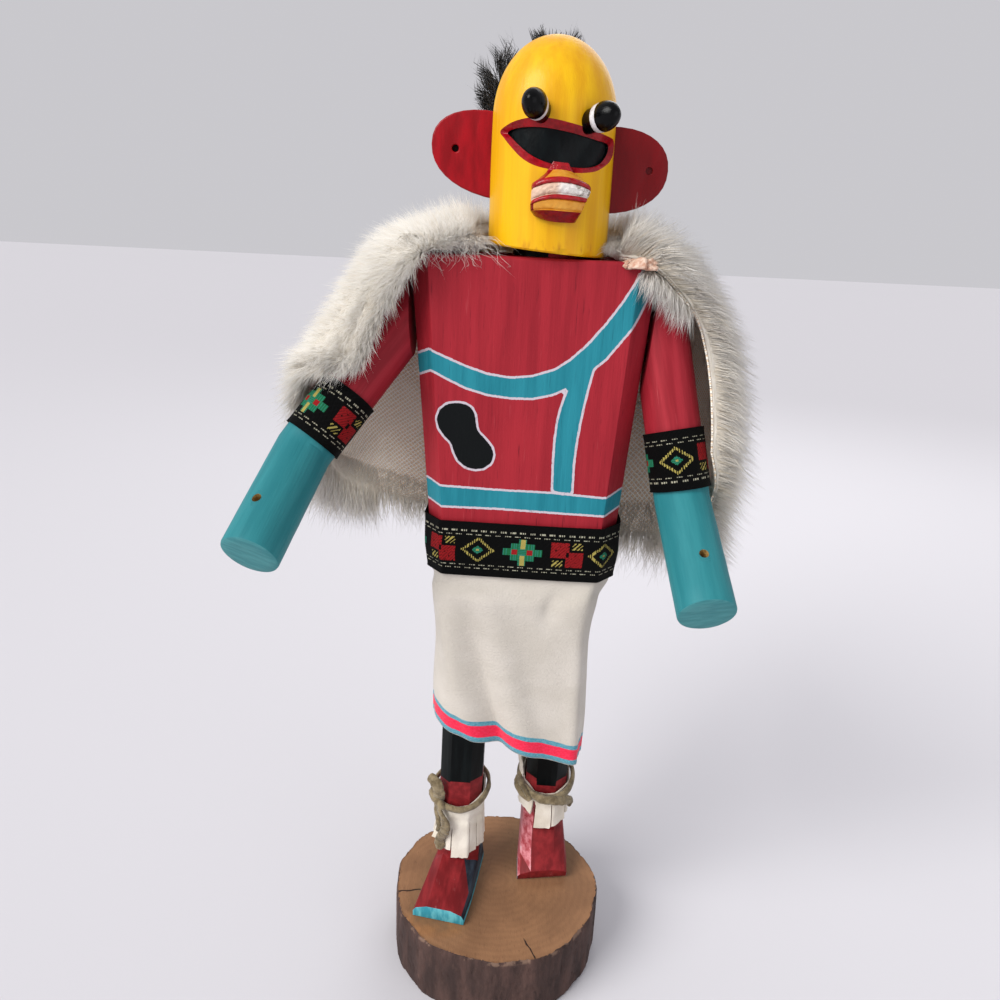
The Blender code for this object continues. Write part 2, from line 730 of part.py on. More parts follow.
def kilt_point(i, count, drop, grow):
    """A point of the wrapped cloth: block shaped at the waist, looser and folded at the hem."""
    steps = count // 8
    side = body_section(BELT_BOTTOM, grow, steps)[i].x - BODY_X
    hem_drop = KILT_LENGTH + KILT_HEM_SLANT * (side / WAIST_WIDTH - 0.25)
    height = BELT_BOTTOM + KILT_TUCK - (KILT_TUCK + hem_drop) * drop
    waist = body_section(max(height, BELT_BOTTOM - 0.001), grow, steps)[i]
    hem_ring = block_ring(0.0, KILT_HEM_WIDTH, KILT_HEM_WIDTH * 0.80, KILT_HEM_DEPTH, CHAMFER_DEPTH,
                          BODY_X - KILT_HEM_SHIFT, grow, steps)
    ease = min(1.0, max(0.0, drop - KILT_FALL_START) / (KILT_FALL_END - KILT_FALL_START))
    x = waist.x + (hem_ring[i].x - waist.x) * ease
    y = waist.y + (hem_ring[i].y + KILT_HEM_BACK - waist.y) * ease
    angle = math.tau * i / count
    fold = KILT_FOLD * ease * (math.sin(6 * angle + 2 * drop) + 0.7 * math.sin(9 * angle - 3 * drop))
    length = math.hypot(x - BODY_X, y - BODY_Y)
    share = 1.0 + (fold + KILT_FOLD * ease) / length
    return Vector((BODY_X + (x - BODY_X) * share, BODY_Y + (y - BODY_Y) * share, BASE_TOP + height))


def make_kilt():
    count = 32
    levels = [0.0, KILT_FALL_START, KILT_FALL_END, 0.36, 0.56, 0.78, 1.0]
    rings = []
    for i in range(count):
        outer = [kilt_point(i, count, drop, GAP + KILT_THICKNESS) for drop in levels]
        inner = [kilt_point(i, count, drop, GAP) for drop in levels]
        rings.append(outer + inner[::-1])
    return new_object("kilt", loft(rings, closed_path=True), CLOTH, math.radians(35))


# Cape
def spline(points, t):
    """Smooth curve through points at equal steps of t from 0 to 1."""
    last = len(points) - 1
    place = min(max(t, 0.0), 1.0) * last
    k = min(int(place), last - 1)
    f = place - k
    p0 = points[max(k - 1, 0)]
    p1 = points[k]
    p2 = points[k + 1]
    p3 = points[min(k + 2, last)]
    return 0.5 * (2 * p1 + (p2 - p0) * f + (2 * p0 - 5 * p1 + 4 * p2 - p3) * f * f
                  + (3 * p1 - p0 - 3 * p2 + p3) * f ** 3)


def step_by(x, y, z):
    """A step from a landmark, in millimetres at the drawn size, that grows with the shoulders."""
    return Vector((x, y, z)) * CAPE_STEP


def cape_stations():
    """Lines down the cape's backing, from the neck to the hem, from the right arm round to the left."""
    top = BASE_TOP + TORSO_TOP
    hem = top + 4 * CAPE_STEP - CAPE_LENGTH
    half = SHOULDER_WIDTH / 2
    back = BODY_Y + TORSO_DEPTH / 2
    middle = BODY_X - TORSO_LEAN
    r_shoulder, r_elbow = arm_points("right")[:2]
    l_shoulder, l_elbow = arm_points("left")[:2]
    right_top = r_shoulder + (r_elbow - r_shoulder) * 0.50
    left_side = l_shoulder + (l_elbow - l_shoulder) * 0.62
    neck = Vector((middle, BODY_Y, top))
    neck_back = Vector((middle, back, top))
    right_edge = Vector((middle - half, BODY_Y, top))
    left_edge = Vector((middle + half, BODY_Y, top))
    right_back = Vector((middle - half, back, top))
    left_back = Vector((middle + half, back, top))
    right_low = Vector((middle - half, back, hem))
    back_low = Vector((middle, back, hem))
    left_low = Vector((middle + half, back, hem))
    right_hem = Vector((right_top.x, BODY_Y, hem))
    left_hem = Vector((left_side.x + ARM_RADIUS, BODY_Y, hem))
    return [
        [neck + step_by(-23, -12, 4), right_edge + step_by(6.6, -19, 2), r_shoulder + step_by(-6, -18, 6),
         right_top + step_by(1, -14, 4), right_top + step_by(-7, -17, -3)],
        [neck + step_by(-25, -2, 6), right_edge + step_by(0, -6, 3), r_shoulder + step_by(-13, -6, 12),
         right_top + step_by(-12, -6, 10), right_top + step_by(-22, -9, 1)],
        [neck + step_by(-24, 10, 7), right_edge + step_by(-4, 4, 2), r_shoulder + step_by(-20, 8, 6),
         right_top + step_by(-20, 16, -8), right_hem + step_by(-20, 14, 30)],
        [neck_back + step_by(-16, 4, 8), right_back + step_by(7.5, 3, 2), right_back + step_by(-20, 5, -30),
         right_back + step_by(-25, 6, -68), right_low + step_by(-22, 4, 14)],
        [neck_back + step_by(4, 10, 9), neck_back + step_by(2, 8, -10), neck_back + step_by(0, 6, -40),
         neck_back + step_by(0, 7, -80), back_low + step_by(0, 9, 0)],
        [neck_back + step_by(25, 4, 8), left_back + step_by(-3.8, 3, 1), left_back + step_by(17, 5, -30),
         left_back + step_by(24, 6, -68), left_low + step_by(24, 4, 0)],
        [neck + step_by(32, 8, 6), left_edge + step_by(6, 8, 1), l_shoulder + step_by(22, 6, -6),
         left_side + step_by(21, 12, -4), left_hem + step_by(8, 10, 2)],
        [neck + step_by(30, -10, 3), left_edge + step_by(-1.4, -16, -1), l_shoulder + step_by(17, -10, -2),
         left_side + step_by(18, -6, -2), left_hem + step_by(4, -4, 6)],
    ]


def clear_of_arms(point):
    """Push a point of the backing out to where it lies over the sleeve of an arm."""
    need = ARM_RADIUS + RIBBON_THICKNESS + 2 * GAP + CAPE_SLACK
    for key in ("right", "left"):
        shoulder, elbow, hand = arm_points(key)
        for start, end in ((shoulder, elbow), (elbow, hand)):
            span = end - start
            t = min(1.0, max(0.0, (point - start).dot(span) / span.length_squared))
            nearest = start + span * t
            away = point - nearest
            if away.length < need:
                point = nearest + away.normalized() * need
    return point


def cape_surface(lines, u, v):
    return clear_of_arms(spline([spline(line, v) for line in lines], u))


def lock(u, row, v):
    """How far a lock of pile stands out, from 0 to 1: staggered rows down the cape."""
    side = abs(math.sin(math.pi * (u * CAPE_LOCKS + 0.5 * (row % 2))))
    return side * math.sin(math.pi * min(1.0, v * 6 % 1.0 + 0.25))


def make_cape():
    """Backing inside, locks of pile outside, which stand out further in rows of staggered tufts."""
    lines = cape_stations()
    inner, outer = [], []
    step = 0.02
    for i in range(CAPE_COLUMNS + 1):
        u = i / CAPE_COLUMNS
        in_line, out_line = [], []
        for j in range(CAPE_ROWS + 1):
            v = j / CAPE_ROWS
            point = cape_surface(lines, u, v)
            du = cape_surface(lines, min(u + step, 1.0), v) - cape_surface(lines, max(u - step, 0.0), v)
            dv = cape_surface(lines, u, min(v + step, 1.0)) - cape_surface(lines, u, max(v - step, 0.0))
            normal = du.cross(dv).normalized()
            tuft = lock(u, j, v)
            edge = min(1.0, 6 * u + 0.35, 6 * (1 - u) + 0.35)
            thick = CAPE_THICKNESS * edge + CAPE_TUFT * tuft
            droop = Vector((0.0, 0.0, -CAPE_TUFT * tuft * 1.2))
            if j == CAPE_ROWS:
                fringe = CAPE_FRINGE * (0.5 + 0.5 * math.sin(u * 47.0)) + CAPE_TOOTH * (i % 2)
                droop.z -= min(1.0, 3.0 * u) * fringe
            in_line.append(point)
            out_line.append(point + normal * thick + droop)
        inner.append(in_line)
        outer.append(out_line)
    rings = [out_line + in_line[::-1] for out_line, in_line in zip(outer, inner)]
    return new_object("cape", loft(rings), PILE)


# Feathers
def feather_blade(knot, degrees, share, index):
    """One flat blade: half wide at its root, widest at a third of its length, pointed at the tip."""
    angle = math.radians(degrees)
    out = Vector((math.sin(angle), 0.10 * (-1) ** index, math.cos(angle))).normalized()
    across = Vector((math.cos(angle), 0.0, -math.sin(angle)))
    thick = Vector((0.0, FEATHER_THICKNESS / 2, 0.0))
    shift = Vector((0.0, FEATHER_SHIFT * (index % 3 - 1), 0.0))
    rings = []
    for along, wide in ((0.0, 0.5), (0.35, 1.0), (0.7, 0.8), (1.0, 0.12)):
        middle = knot + shift + out * FEATHER_LENGTH * share * along
        half = across * FEATHER_WIDTH / 2 * wide
        low, high = middle - half, middle + half
        rings.append([low - thick, high - thick, high + thick, low + thick])
    return loft(rings)


def make_feathers(head_clearance):
    """Blades of down that fan out from a knot at the back of the head."""
    knot = Vector((
        HEAD_CENTRE.x + FEATHER_OFF_MIDDLE,
        HEAD_CENTRE.y + HEAD_RADIUS + FEATHER_STAND_OFF,
        HEAD_BOTTOM + HEAD_LENGTH - FEATHER_KNOT_DROP,
    ))
    reach = Vector((0.0, FEATHER_KNOT_DEPTH / 2, 0.0))
    body = cylinder_between(knot - reach, knot + reach, FEATHER_KNOT_RADIUS, 12)
    tuft = new_object("feathers", body, DOWN)
    for index, (degrees, share) in enumerate(FEATHER_FAN):
        blade = new_object(f"feather_{index}", feather_blade(knot, degrees, share, index), DOWN)
        boolean(tuft, blade, "UNION")
    boolean(tuft, head_clearance, "DIFFERENCE")
    return tuft


# Cuffs and laces
def cuff_tilt(side, spoke):
    """How far a cuff dips in front: it lies square to the lifted foot."""
    return math.tan(foot_place(side)[2]) * 0.8 * spoke.y * LEG_WIDTH / 2


def cuff_ring(side, height, grow):
    """The leg's section at a height above the ankle, rounded out for leather wrapped round it."""
    low, high = leg_rings(side)
    start = sum(low, Vector()) / len(low)
    end = sum(high, Vector()) / len(high)
    ankle = ankle_centre(side)
    t = (ankle.z + height - start.z) / (end.z - start.z)
    return start + (end - start) * t, LEG_WIDTH / 2 * CUFF_ROUNDING + grow


def make_cuff(name, side):
    """Leather cut into tabs along its lower edge."""
    top = LEFT_CUFF_HEIGHT if side > 0 else RIGHT_CUFF_HEIGHT
    count = CUFF_TABS * 4
    inner_line = GAP + CUFF_SLACK
    outer_line = inner_line + CUFF_THICKNESS
    rings = []
    for i in range(count):
        angle = math.tau * i / count
        notch = CUFF_NOTCH * (1.0 if i % 4 == 0 else 0.0) + CUFF_WAVE * math.sin(3 * angle + side)
        low = CUFF_START + max(0.0, notch)
        spoke = Vector((math.cos(angle), math.sin(angle), 0.0))
        ring = []
        flare = low + CUFF_FLARE_HEIGHT
        section = [
            (low, inner_line), (low, outer_line + CUFF_FLARE), (flare, outer_line + CUFF_FLARE / 3),
            (top, outer_line), (top, inner_line), (flare, inner_line),
        ]
        for height, line in section:
            middle, radius = cuff_ring(side, height + cuff_tilt(side, spoke), line)
            ring.append(middle + spoke * radius)
        rings.append(ring)
    return new_object(name, loft(rings, closed_path=True), LEATHER)


def tube(points, radius, sides=6, closed=False):
    """A round strand along points."""
    count = len(points)
    rings = []
    up = Vector((0.13, 0.29, 0.95))
    for i, point in enumerate(points):
        before = points[(i - 1) % count] if closed or i > 0 else point
        after = points[(i + 1) % count] if closed or i < count - 1 else point
        along = (after - before).normalized()
        across = along.cross(up).normalized()
        rise = across.cross(along)
        ring = []
        for k in range(sides):
            angle = math.tau * k / sides
            ring.append(point + radius * (math.cos(angle) * across + math.sin(angle) * rise))
        rings.append(ring)
    return loft(rings, closed_path=closed)


def make_lace(name, side):
    """A lace round the cuff with a knot on its outer front and two hanging tails."""
    steps = 20
    line = GAP * 2 + CUFF_SLACK + 0.0002 + CUFF_THICKNESS + LACE_RADIUS
    level = (LEFT_CUFF_HEIGHT if side > 0 else RIGHT_CUFF_HEIGHT) - LACE_DROP
    loop = []
    for i in range(steps):
        angle = math.tau * i / steps
        spoke = Vector((math.cos(angle), math.sin(angle), 0.0))
        middle, radius = cuff_ring(side, level + cuff_tilt(side, spoke), line)
        loop.append(middle + radius * spoke)
    lace = new_object(name, tube(loop, LACE_RADIUS, closed=True), LACE)
    knot_angle = math.radians(222 if side < 0 else 296)
    for number, (swing, drop) in enumerate(((-0.16, 0.019), (0.20, 0.015))):
        tail = []
        for k in range(5):
            t = k / 4
            angle = knot_angle + swing * t
            spoke = Vector((math.cos(angle), math.sin(angle), 0.0))
            height = level + cuff_tilt(side, spoke) - drop * t
            middle, radius = cuff_ring(side, height, line + LACE_RADIUS * 0.9 + 0.0004)
            tail.append(middle + radius * spoke)
        boolean(lace, new_object(f"{name}_tail_{number}", tube(tail, LACE_RADIUS * 0.9), LACE), "UNION")
    spoke = Vector((math.cos(knot_angle), math.sin(knot_angle), 0.0))
    middle, radius = cuff_ring(side, level + cuff_tilt(side, spoke), line + LACE_RADIUS * 0.9)
    knot = middle + radius * spoke
    ball = bmesh.new()
    at_knot = Matrix.Translation(knot)
    bmesh.ops.create_icosphere(ball, subdivisions=1, radius=LACE_RADIUS * 1.8, matrix=at_knot)
    boolean(lace, new_object(f"{name}_knot", ball, LACE), "UNION")
    return lace


def main():
    make_base()
    make_body()
    torso_clearance = new_object("torso_clearance", loft(torso_rings(GAP)), RED)
    head_clearance = new_object("head_clearance", head_mesh(GAP), YELLOW)
    make_head()
    make_snout()
    for name, side in (("right", -1), ("left", 1)):
        make_eye(f"{name}_eye", side, head_clearance)
        make_ear(f"{name}_ear", side)
        make_arm(name, torso_clearance)
        make_armband(name)
        make_cuff(f"{name}_cuff", side)
        make_lace(f"{name}_lace", side)
    make_belt()
    make_kilt()
    make_cape()
    make_feathers(head_clearance)


main()
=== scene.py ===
import math
import random

import bmesh
import bpy
from mathutils import Matrix, Vector, noise


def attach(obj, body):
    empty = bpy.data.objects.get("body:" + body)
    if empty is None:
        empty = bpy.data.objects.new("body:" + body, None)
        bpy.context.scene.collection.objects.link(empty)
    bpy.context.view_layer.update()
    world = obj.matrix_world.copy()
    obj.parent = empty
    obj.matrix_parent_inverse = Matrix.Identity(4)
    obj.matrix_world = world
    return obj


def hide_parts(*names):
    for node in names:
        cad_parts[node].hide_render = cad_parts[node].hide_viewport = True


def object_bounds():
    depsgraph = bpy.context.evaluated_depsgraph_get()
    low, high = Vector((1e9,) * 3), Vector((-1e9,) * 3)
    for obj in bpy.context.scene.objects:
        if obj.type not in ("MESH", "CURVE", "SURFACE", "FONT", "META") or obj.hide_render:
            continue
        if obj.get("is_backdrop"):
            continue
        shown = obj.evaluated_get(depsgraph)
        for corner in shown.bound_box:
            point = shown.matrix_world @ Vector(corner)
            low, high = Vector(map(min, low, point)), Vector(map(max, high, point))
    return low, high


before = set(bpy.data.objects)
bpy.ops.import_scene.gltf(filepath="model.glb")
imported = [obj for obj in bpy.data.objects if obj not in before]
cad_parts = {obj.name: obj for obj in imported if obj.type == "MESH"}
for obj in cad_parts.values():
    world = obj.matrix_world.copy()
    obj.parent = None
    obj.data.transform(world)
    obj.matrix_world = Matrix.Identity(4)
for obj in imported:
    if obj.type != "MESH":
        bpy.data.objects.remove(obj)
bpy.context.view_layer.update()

# Studio.
# A plain pale floor, broad window light from the doll's right, a weak fill from its left, and a
# camera where the photographer stood: close, a little above the head, and tilted slightly.
floor_colour = (0.60, 0.59, 0.62, 1.0)
room_colour = (0.80, 0.79, 0.83, 1.0)
lens_pixels = 865.173
picture_pixels = 1000.0
sensor_width = 36.0
camera_place = Vector((0.006748, -0.340815, 0.337378))
camera_yaw = math.radians(-2.2289)
camera_pitch = math.radians(18.2235)
camera_roll = math.radians(2.6018)

bpy.ops.mesh.primitive_plane_add(size=12.0, location=(0.0, 0.0, 0.0))
floor = bpy.context.object
floor.name = "floor"
floor_paint = bpy.data.materials.new("pale_floor")
floor_paint.use_nodes = True
floor_shader = floor_paint.node_tree.nodes["Principled BSDF"]
floor_shader.inputs["Base Color"].default_value = floor_colour
floor_shader.inputs["Roughness"].default_value = 0.85
floor.data.materials.append(floor_paint)
floor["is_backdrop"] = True

room = bpy.data.worlds.new("room")
bpy.context.scene.world = room
room.use_nodes = True
room.node_tree.nodes["Background"].inputs["Color"].default_value = room_colour
room.node_tree.nodes["Background"].inputs["Strength"].default_value = 0.62
bpy.context.scene.view_settings.view_transform = "Standard"
bpy.context.scene.view_settings.exposure = 0.24


def add_light(kind, name, place, strength, colour):
    """A studio light that points at the figure's middle."""
    bpy.ops.object.light_add(type=kind, location=place)
    light = bpy.context.object
    light.name = name
    light.data.energy = strength
    light.data.color = colour
    light.rotation_euler = (Vector((0.0, 0.0, 0.22)) - Vector(place)).to_track_quat("-Z", "Y").to_euler()
    return light.data


for name, place, strength, colour, width in (("fill_light", (0.85, -0.95, 0.45), 1.6, (0.95, 0.97, 1.0), 0.9),
                                             ("back_light", (0.3, 0.9, 0.9), 3.0, (1.0, 1.0, 1.0), 0.8)):
    soft = add_light("AREA", name, place, strength, colour)
    soft.shape = "SQUARE"
    soft.size = width
window = add_light("SUN", "window_light", (-0.95, -0.80, 1.05), 2.7, (1.0, 0.985, 0.96))
window.angle = math.radians(38.0)

ahead = Vector((
    math.sin(camera_yaw) * math.cos(camera_pitch),
    math.cos(camera_yaw) * math.cos(camera_pitch),
    -math.sin(camera_pitch),
))
level_right = Vector((math.cos(camera_yaw), -math.sin(camera_yaw), 0.0))
level_down = ahead.cross(level_right)
picture_right = math.cos(camera_roll) * level_right - math.sin(camera_roll) * level_down
picture_down = math.sin(camera_roll) * level_right + math.cos(camera_roll) * level_down
bpy.ops.object.camera_add(location=camera_place)
camera = bpy.context.object
camera.name = "camera"
turned = Matrix((picture_right, -picture_down, -ahead)).transposed().to_4x4()
camera.matrix_world = Matrix.Translation(camera_place) @ turned
camera.data.sensor_width = sensor_width
camera.data.lens = lens_pixels / picture_pixels * sensor_width
camera.data.clip_start = 0.01
bpy.context.scene.camera = camera

# Base.
# A slice of a small log, sawn flat on both faces, with its bark left on. The sawn top is dry and
# brown, with a few drying cracks and a smear of orange paint, and the bark's rim is chipped.
base_radius = 0.0486
base_height = 0.0305
base_top = base_height + 0.0003


class Finish:
    """A paint, stain or cloth, mixed from nodes that read the piece's own coordinates."""

    def __init__(self, name, roughness, sheen=0.0, coat=0.0, shine=0.3):
        self.material = bpy.data.materials.new(name)
        self.material.use_nodes = True
        self.tree = self.material.node_tree
        self.shader = self.tree.nodes["Principled BSDF"]
        self.shader.inputs["Roughness"].default_value = roughness
        self.shader.inputs["Sheen Weight"].default_value = sheen
        self.shader.inputs["Coat Weight"].default_value = coat
        self.shader.inputs["Specular IOR Level"].default_value = shine
        self.shader.inputs["Coat Roughness"].default_value = 0.12
        self.where = self.tree.nodes.new("ShaderNodeTexCoord")
        self.relief_so_far = None

    def plug(self, socket, value):
        if isinstance(value, bpy.types.NodeSocket):
            self.tree.links.new(value, socket)
        else:
            socket.default_value = value

    def sum(self, operation, *values):
        """One step of arithmetic on values or other nodes."""
        node = self.tree.nodes.new("ShaderNodeMath")
        node.operation = operation
        for socket, value in zip(node.inputs, values):
            self.plug(socket, value)
        return node.outputs[0]

    def stored(self, name, kind="Fac"):
        node = self.tree.nodes.new("ShaderNodeAttribute")
        node.attribute_name = name
        return node.outputs[kind]

    def place(self, source="Object"):
        """The piece's own coordinates, or places stored in its mesh under a name."""
        return self.where.outputs[source] if source in self.where.outputs else self.stored(source, "Vector")

    def axes(self, source="Object"):
        """The X, Y and Z of such places."""
        node = self.tree.nodes.new("ShaderNodeSeparateXYZ")
        self.plug(node.inputs[0], self.place(source))
        return node.outputs

    def stretched(self, scale, source="Object"):
        node = self.tree.nodes.new("ShaderNodeMapping")
        self.plug(node.inputs["Vector"], self.place(source))
        node.inputs["Scale"].default_value = scale
        return node.outputs[0]

    def grain(self, scale, detail=3.0, rough=0.55, source="Object"):
        node = self.tree.nodes.new("ShaderNodeTexNoise")
        self.plug(node.inputs["Vector"], self.stretched(scale, source))
        node.inputs["Scale"].default_value = 1.0
        node.inputs["Detail"].default_value = detail
        node.inputs["Roughness"].default_value = rough
        return node.outputs["Fac"]

    def spread(self, value, low, high, to_low=0.0, to_high=1.0):
        """A value from low to high, eased from to_low to to_high."""
        node = self.tree.nodes.new("ShaderNodeMapRange")
        node.interpolation_type = "SMOOTHSTEP"
        for socket, given in zip(node.inputs, (value, low, high, to_low, to_high)):
            self.plug(socket, given)
        return node.outputs[0]

    def blend(self, share, first, second):
        node = self.tree.nodes.new("ShaderNodeMix")
        node.data_type = "RGBA"
        self.plug(node.inputs["Factor"], share)
        self.plug(node.inputs["A"], first)
        self.plug(node.inputs["B"], second)
        return node.outputs["Result"]

    def layer(self, colour, grain, low, high, paint, share=1.0):
        """The colour with paint over it where the grain is toward high, up to a share of it."""
        return self.blend(self.spread(grain, low, high, 0.0, share), colour, paint)

    def relief(self, height, depth):
        """Adds bump of a depth in metres on top of the relief that is there."""
        node = self.tree.nodes.new("ShaderNodeBump")
        node.inputs["Strength"].default_value = 1.0
        node.inputs["Distance"].default_value = depth
        self.plug(node.inputs["Height"], height)
        if self.relief_so_far is not None:
            self.plug(node.inputs["Normal"], self.relief_so_far)
        self.relief_so_far = node.outputs["Normal"]

    def done(self, colour):
        self.plug(self.shader.inputs["Base Color"], colour)
        if self.relief_so_far is not None:
            self.plug(self.shader.inputs["Normal"], self.relief_so_far)
        return self.material


def tint(red, green, blue, share=0.86):
    """A colour as it is seen, from 0 to 255, made linear for the shader; share is how much comes back."""
    parts = []
    for part in (red, green, blue):
        level = part / 255
        parts.append(share * (level / 12.92 if level < 0.04045 else ((level + 0.055) / 1.055) ** 2.4))
    return (*parts, 1.0)


def pale(red, green, blue):
    """The same for white cloth, pile and leather, which give back all of it."""
    return tint(red, green, blue, 1.0)


def start_piece(name):
    """Names the primitive just added and opens it for editing."""
    piece = bpy.context.object
    piece.name = name
    piece.data.name = name
    bpy.ops.object.mode_set(mode="EDIT")
    return piece


def cut_rings(piece, count):
    """Divides the sides of a cylinder that is open for editing with rings."""
    shape = bmesh.from_edit_mesh(piece.data)
    for edge in shape.edges:
        edge.select = abs(edge.verts[0].co.z - edge.verts[1].co.z) > 0.01
    bmesh.update_edit_mesh(piece.data)
    bpy.ops.mesh.subdivide(number_cuts=count)


def pick_up(piece):
    """Selects one piece and nothing else."""
    bpy.ops.object.select_all(action="DESELECT")
    bpy.context.view_layer.objects.active = piece
    piece.select_set(True)


def put_in_place(piece):
    """Moves a finished piece's place and turn into its mesh."""
    pick_up(piece)
    bpy.ops.object.transform_apply(location=True, rotation=True, scale=True)


def smooth(piece, sharp_degrees):
    """Shades a piece as one surface, apart from edges that turn by more than this."""
    piece.data.shade_smooth()
    piece.data.set_sharp_from_angle(angle=math.radians(sharp_degrees))


def fix_to_doll(piece, slot_name, *nodes):
    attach(piece, "root")
    if nodes:
        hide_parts(*nodes)


def settle(piece, *modifiers):
    """Applies modifiers, each given as its kind and settings."""
    pick_up(piece)
    for kind, settings in modifiers:
        step = piece.modifiers.new(kind.lower(), kind)
        for key, value in settings.items():
            setattr(step, key, value)
        bpy.ops.object.modifier_apply(modifier=step.name)


def uneven(x, y, z):
    """A soft random value round 0, the same each time at the same place."""
    return noise.noise(Vector((x, y, z)))


def log_outline(angle):
    """The log's radius at an angle, as the solid has it."""
    wave = math.sin(5 * angle + 0.7) + 0.6 * math.sin(11 * angle) + 0.4 * math.sin(17 * angle + 2.0)
    return base_radius + 0.0005 * wave


bpy.ops.mesh.primitive_cylinder_add(
    vertices=360, radius=base_radius, depth=base_height, location=(0.0, 0.0, base_height / 2))
base = start_piece("log_base")
cut_rings(base, 22)
shape = bmesh.from_edit_mesh(base.data)
for face in shape.faces:
    face.select = abs(face.normal.z) > 0.5
bmesh.update_edit_mesh(base.data)
for inset in (0.0009, 0.0012, 0.004, 0.010):
    bpy.ops.mesh.inset(thickness=inset, use_individual=True)
bpy.ops.object.mode_set(mode="OBJECT")
put_in_place(base)
for vertex in base.data.vertices:
    x, y, z = vertex.co
    reach = math.hypot(x, y)
    angle = math.atan2(y, x)
    share = log_outline(angle) / base_radius
    if reach > base_radius - 0.0002:
        plate = uneven(math.cos(angle) * 9.0, math.sin(angle) * 9.0, z * 60.0)
        fissure = abs(uneven(math.cos(angle) * 26.0, math.sin(angle) * 26.0, z * 110.0))
        relief = 0.00035 * plate - 0.0006 * max(0.0, 0.12 - fissure) / 0.12
        rim = min(z, base_height - z)
        chip = max(0.0, uneven(math.cos(angle) * 14.0, math.sin(angle) * 14.0, 7.0) - 0.05)
        if rim < 0.0022:
            relief -= (0.0006 + 0.0014 * chip) * (1.0 - rim / 0.0022) ** 1.6
        share += min(relief, 0.0) / base_radius
        vertex.co = (x * share, y * share, z)
    else:
        ease = 0.0
        if reach > base_radius - 0.0025:
            ease = 0.00025 * (reach - base_radius + 0.0025) / 0.0025
        vertex.co = (x * share, y * share, z - math.copysign(ease, z - base_height / 2) * (z > 0.01))
smooth(base, 50)

bark = Finish("log_bark", 0.82)
streak = bark.grain((110.0, 110.0, 26.0), 5.0, 0.62)
flake = bark.grain((420.0, 420.0, 150.0), 4.0, 0.6)
bark_colour = bark.layer(tint(56, 41, 38), streak, 0.32, 0.68, tint(88, 65, 59))
bark_colour = bark.layer(bark_colour, flake, 0.60, 0.80, tint(104, 80, 70), 0.5)
bark_place = bark.axes()
rim_chips = bark.sum("MULTIPLY", bark.spread(bark_place["Z"], 0.0282, 0.0296),
                     bark.spread(bark.grain((190.0, 190.0, 190.0), 4.0), 0.50, 0.60))
bark_colour = bark.blend(bark.sum("MULTIPLY", rim_chips, 0.5), bark_colour, tint(158, 128, 108))
bark.relief(streak, 0.0010)
bark.relief(flake, 0.0003)
base.data.materials.append(bark.done(bark_colour))

sawn = Finish("log_sawn_top", 0.72)
ring_place = sawn.tree.nodes.new("ShaderNodeTexWave")
ring_place.wave_type = "RINGS"
ring_place.rings_direction = "Z"
sawn.plug(ring_place.inputs["Vector"], sawn.stretched((1.0, 1.0, 0.0)))
ring_place.inputs["Scale"].default_value = 95.0
ring_place.inputs["Distortion"].default_value = 5.0
ring_place.inputs["Detail"].default_value = 3.0
ring_place.inputs["Detail Scale"].default_value = 0.7
rings = ring_place.outputs["Fac"]
cloud = sawn.grain((38.0, 38.0, 38.0), 4.0)
fibre = sawn.grain((900.0, 300.0, 900.0), 3.0, 0.7)
wood_colour = sawn.layer(tint(136, 98, 68), cloud, 0.35, 0.65, tint(156, 114, 80))
wood_colour = sawn.layer(wood_colour, rings, 0.2, 0.9, tint(98, 62, 42), 0.10)
wood_colour = sawn.layer(wood_colour, fibre, 0.55, 0.75, tint(92, 58, 40), 0.30)
flat_place = sawn.axes()
smear_x = sawn.sum("DIVIDE", sawn.sum("ADD", flat_place["X"], 0.026), 0.016)
smear_y = sawn.sum("DIVIDE", sawn.sum("ADD", flat_place["Y"], 0.028), 0.010)
smear = sawn.sum("SQRT", sawn.sum("ADD", sawn.sum("POWER", smear_x, 2.0), sawn.sum("POWER", smear_y, 2.0)))
smear = sawn.sum("MULTIPLY", sawn.spread(smear, 0.35, 1.1, 1.0, 0.0), sawn.spread(cloud, 0.38, 0.6))
wood_colour = sawn.blend(sawn.sum("MULTIPLY", smear, 0.55), wood_colour, tint(196, 128, 66))


def crack(finish, place, start, end, width):
    """How deep a drying crack is: 1 on the line from start to end, 0 a width away from it."""
    run = Vector(end) - Vector(start)
    length = run.length
    run.normalize()
    node_x = finish.sum("SUBTRACT", place["X"], start[0])
    node_y = finish.sum("SUBTRACT", place["Y"], start[1])
    along = finish.sum("ADD", finish.sum("MULTIPLY", node_x, run.x), finish.sum("MULTIPLY", node_y, run.y))
    off = finish.sum("SUBTRACT", finish.sum("MULTIPLY", node_x, run.y), finish.sum("MULTIPLY", node_y, run.x))
    shake = finish.sum("SUBTRACT", finish.grain((260.0, 260.0, 0.0), 2.0), 0.5)
    off = finish.sum("ABSOLUTE", finish.sum("ADD", off, finish.sum("MULTIPLY", shake, 0.0016)))
    inside = finish.sum("MULTIPLY", finish.spread(along, 0.0, length * 0.2),
                        finish.spread(along, length * 0.8, length, 1.0, 0.0))
    return finish.sum("MULTIPLY", finish.spread(off, width * 0.3, width, 1.0, 0.0), inside)


split = crack(sawn, flat_place, (-0.0475, -0.0115), (-0.034, -0.0085), 0.00045)
split = sawn.sum("MAXIMUM", split, crack(sawn, flat_place, (0.014, -0.0330), (0.0205, -0.0455), 0.0004))
wood_colour = sawn.blend(split, wood_colour, tint(52, 32, 24))
sawn.relief(sawn.sum("SUBTRACT", fibre, sawn.sum("MULTIPLY", split, 6.0)), 0.00018)
base.data.materials.append(sawn.done(wood_colour))
for face in base.data.polygons:
    face.material_index = 1 if abs(face.normal.z) > 0.7 else 0
fix_to_doll(base, "bark_wood", "base")

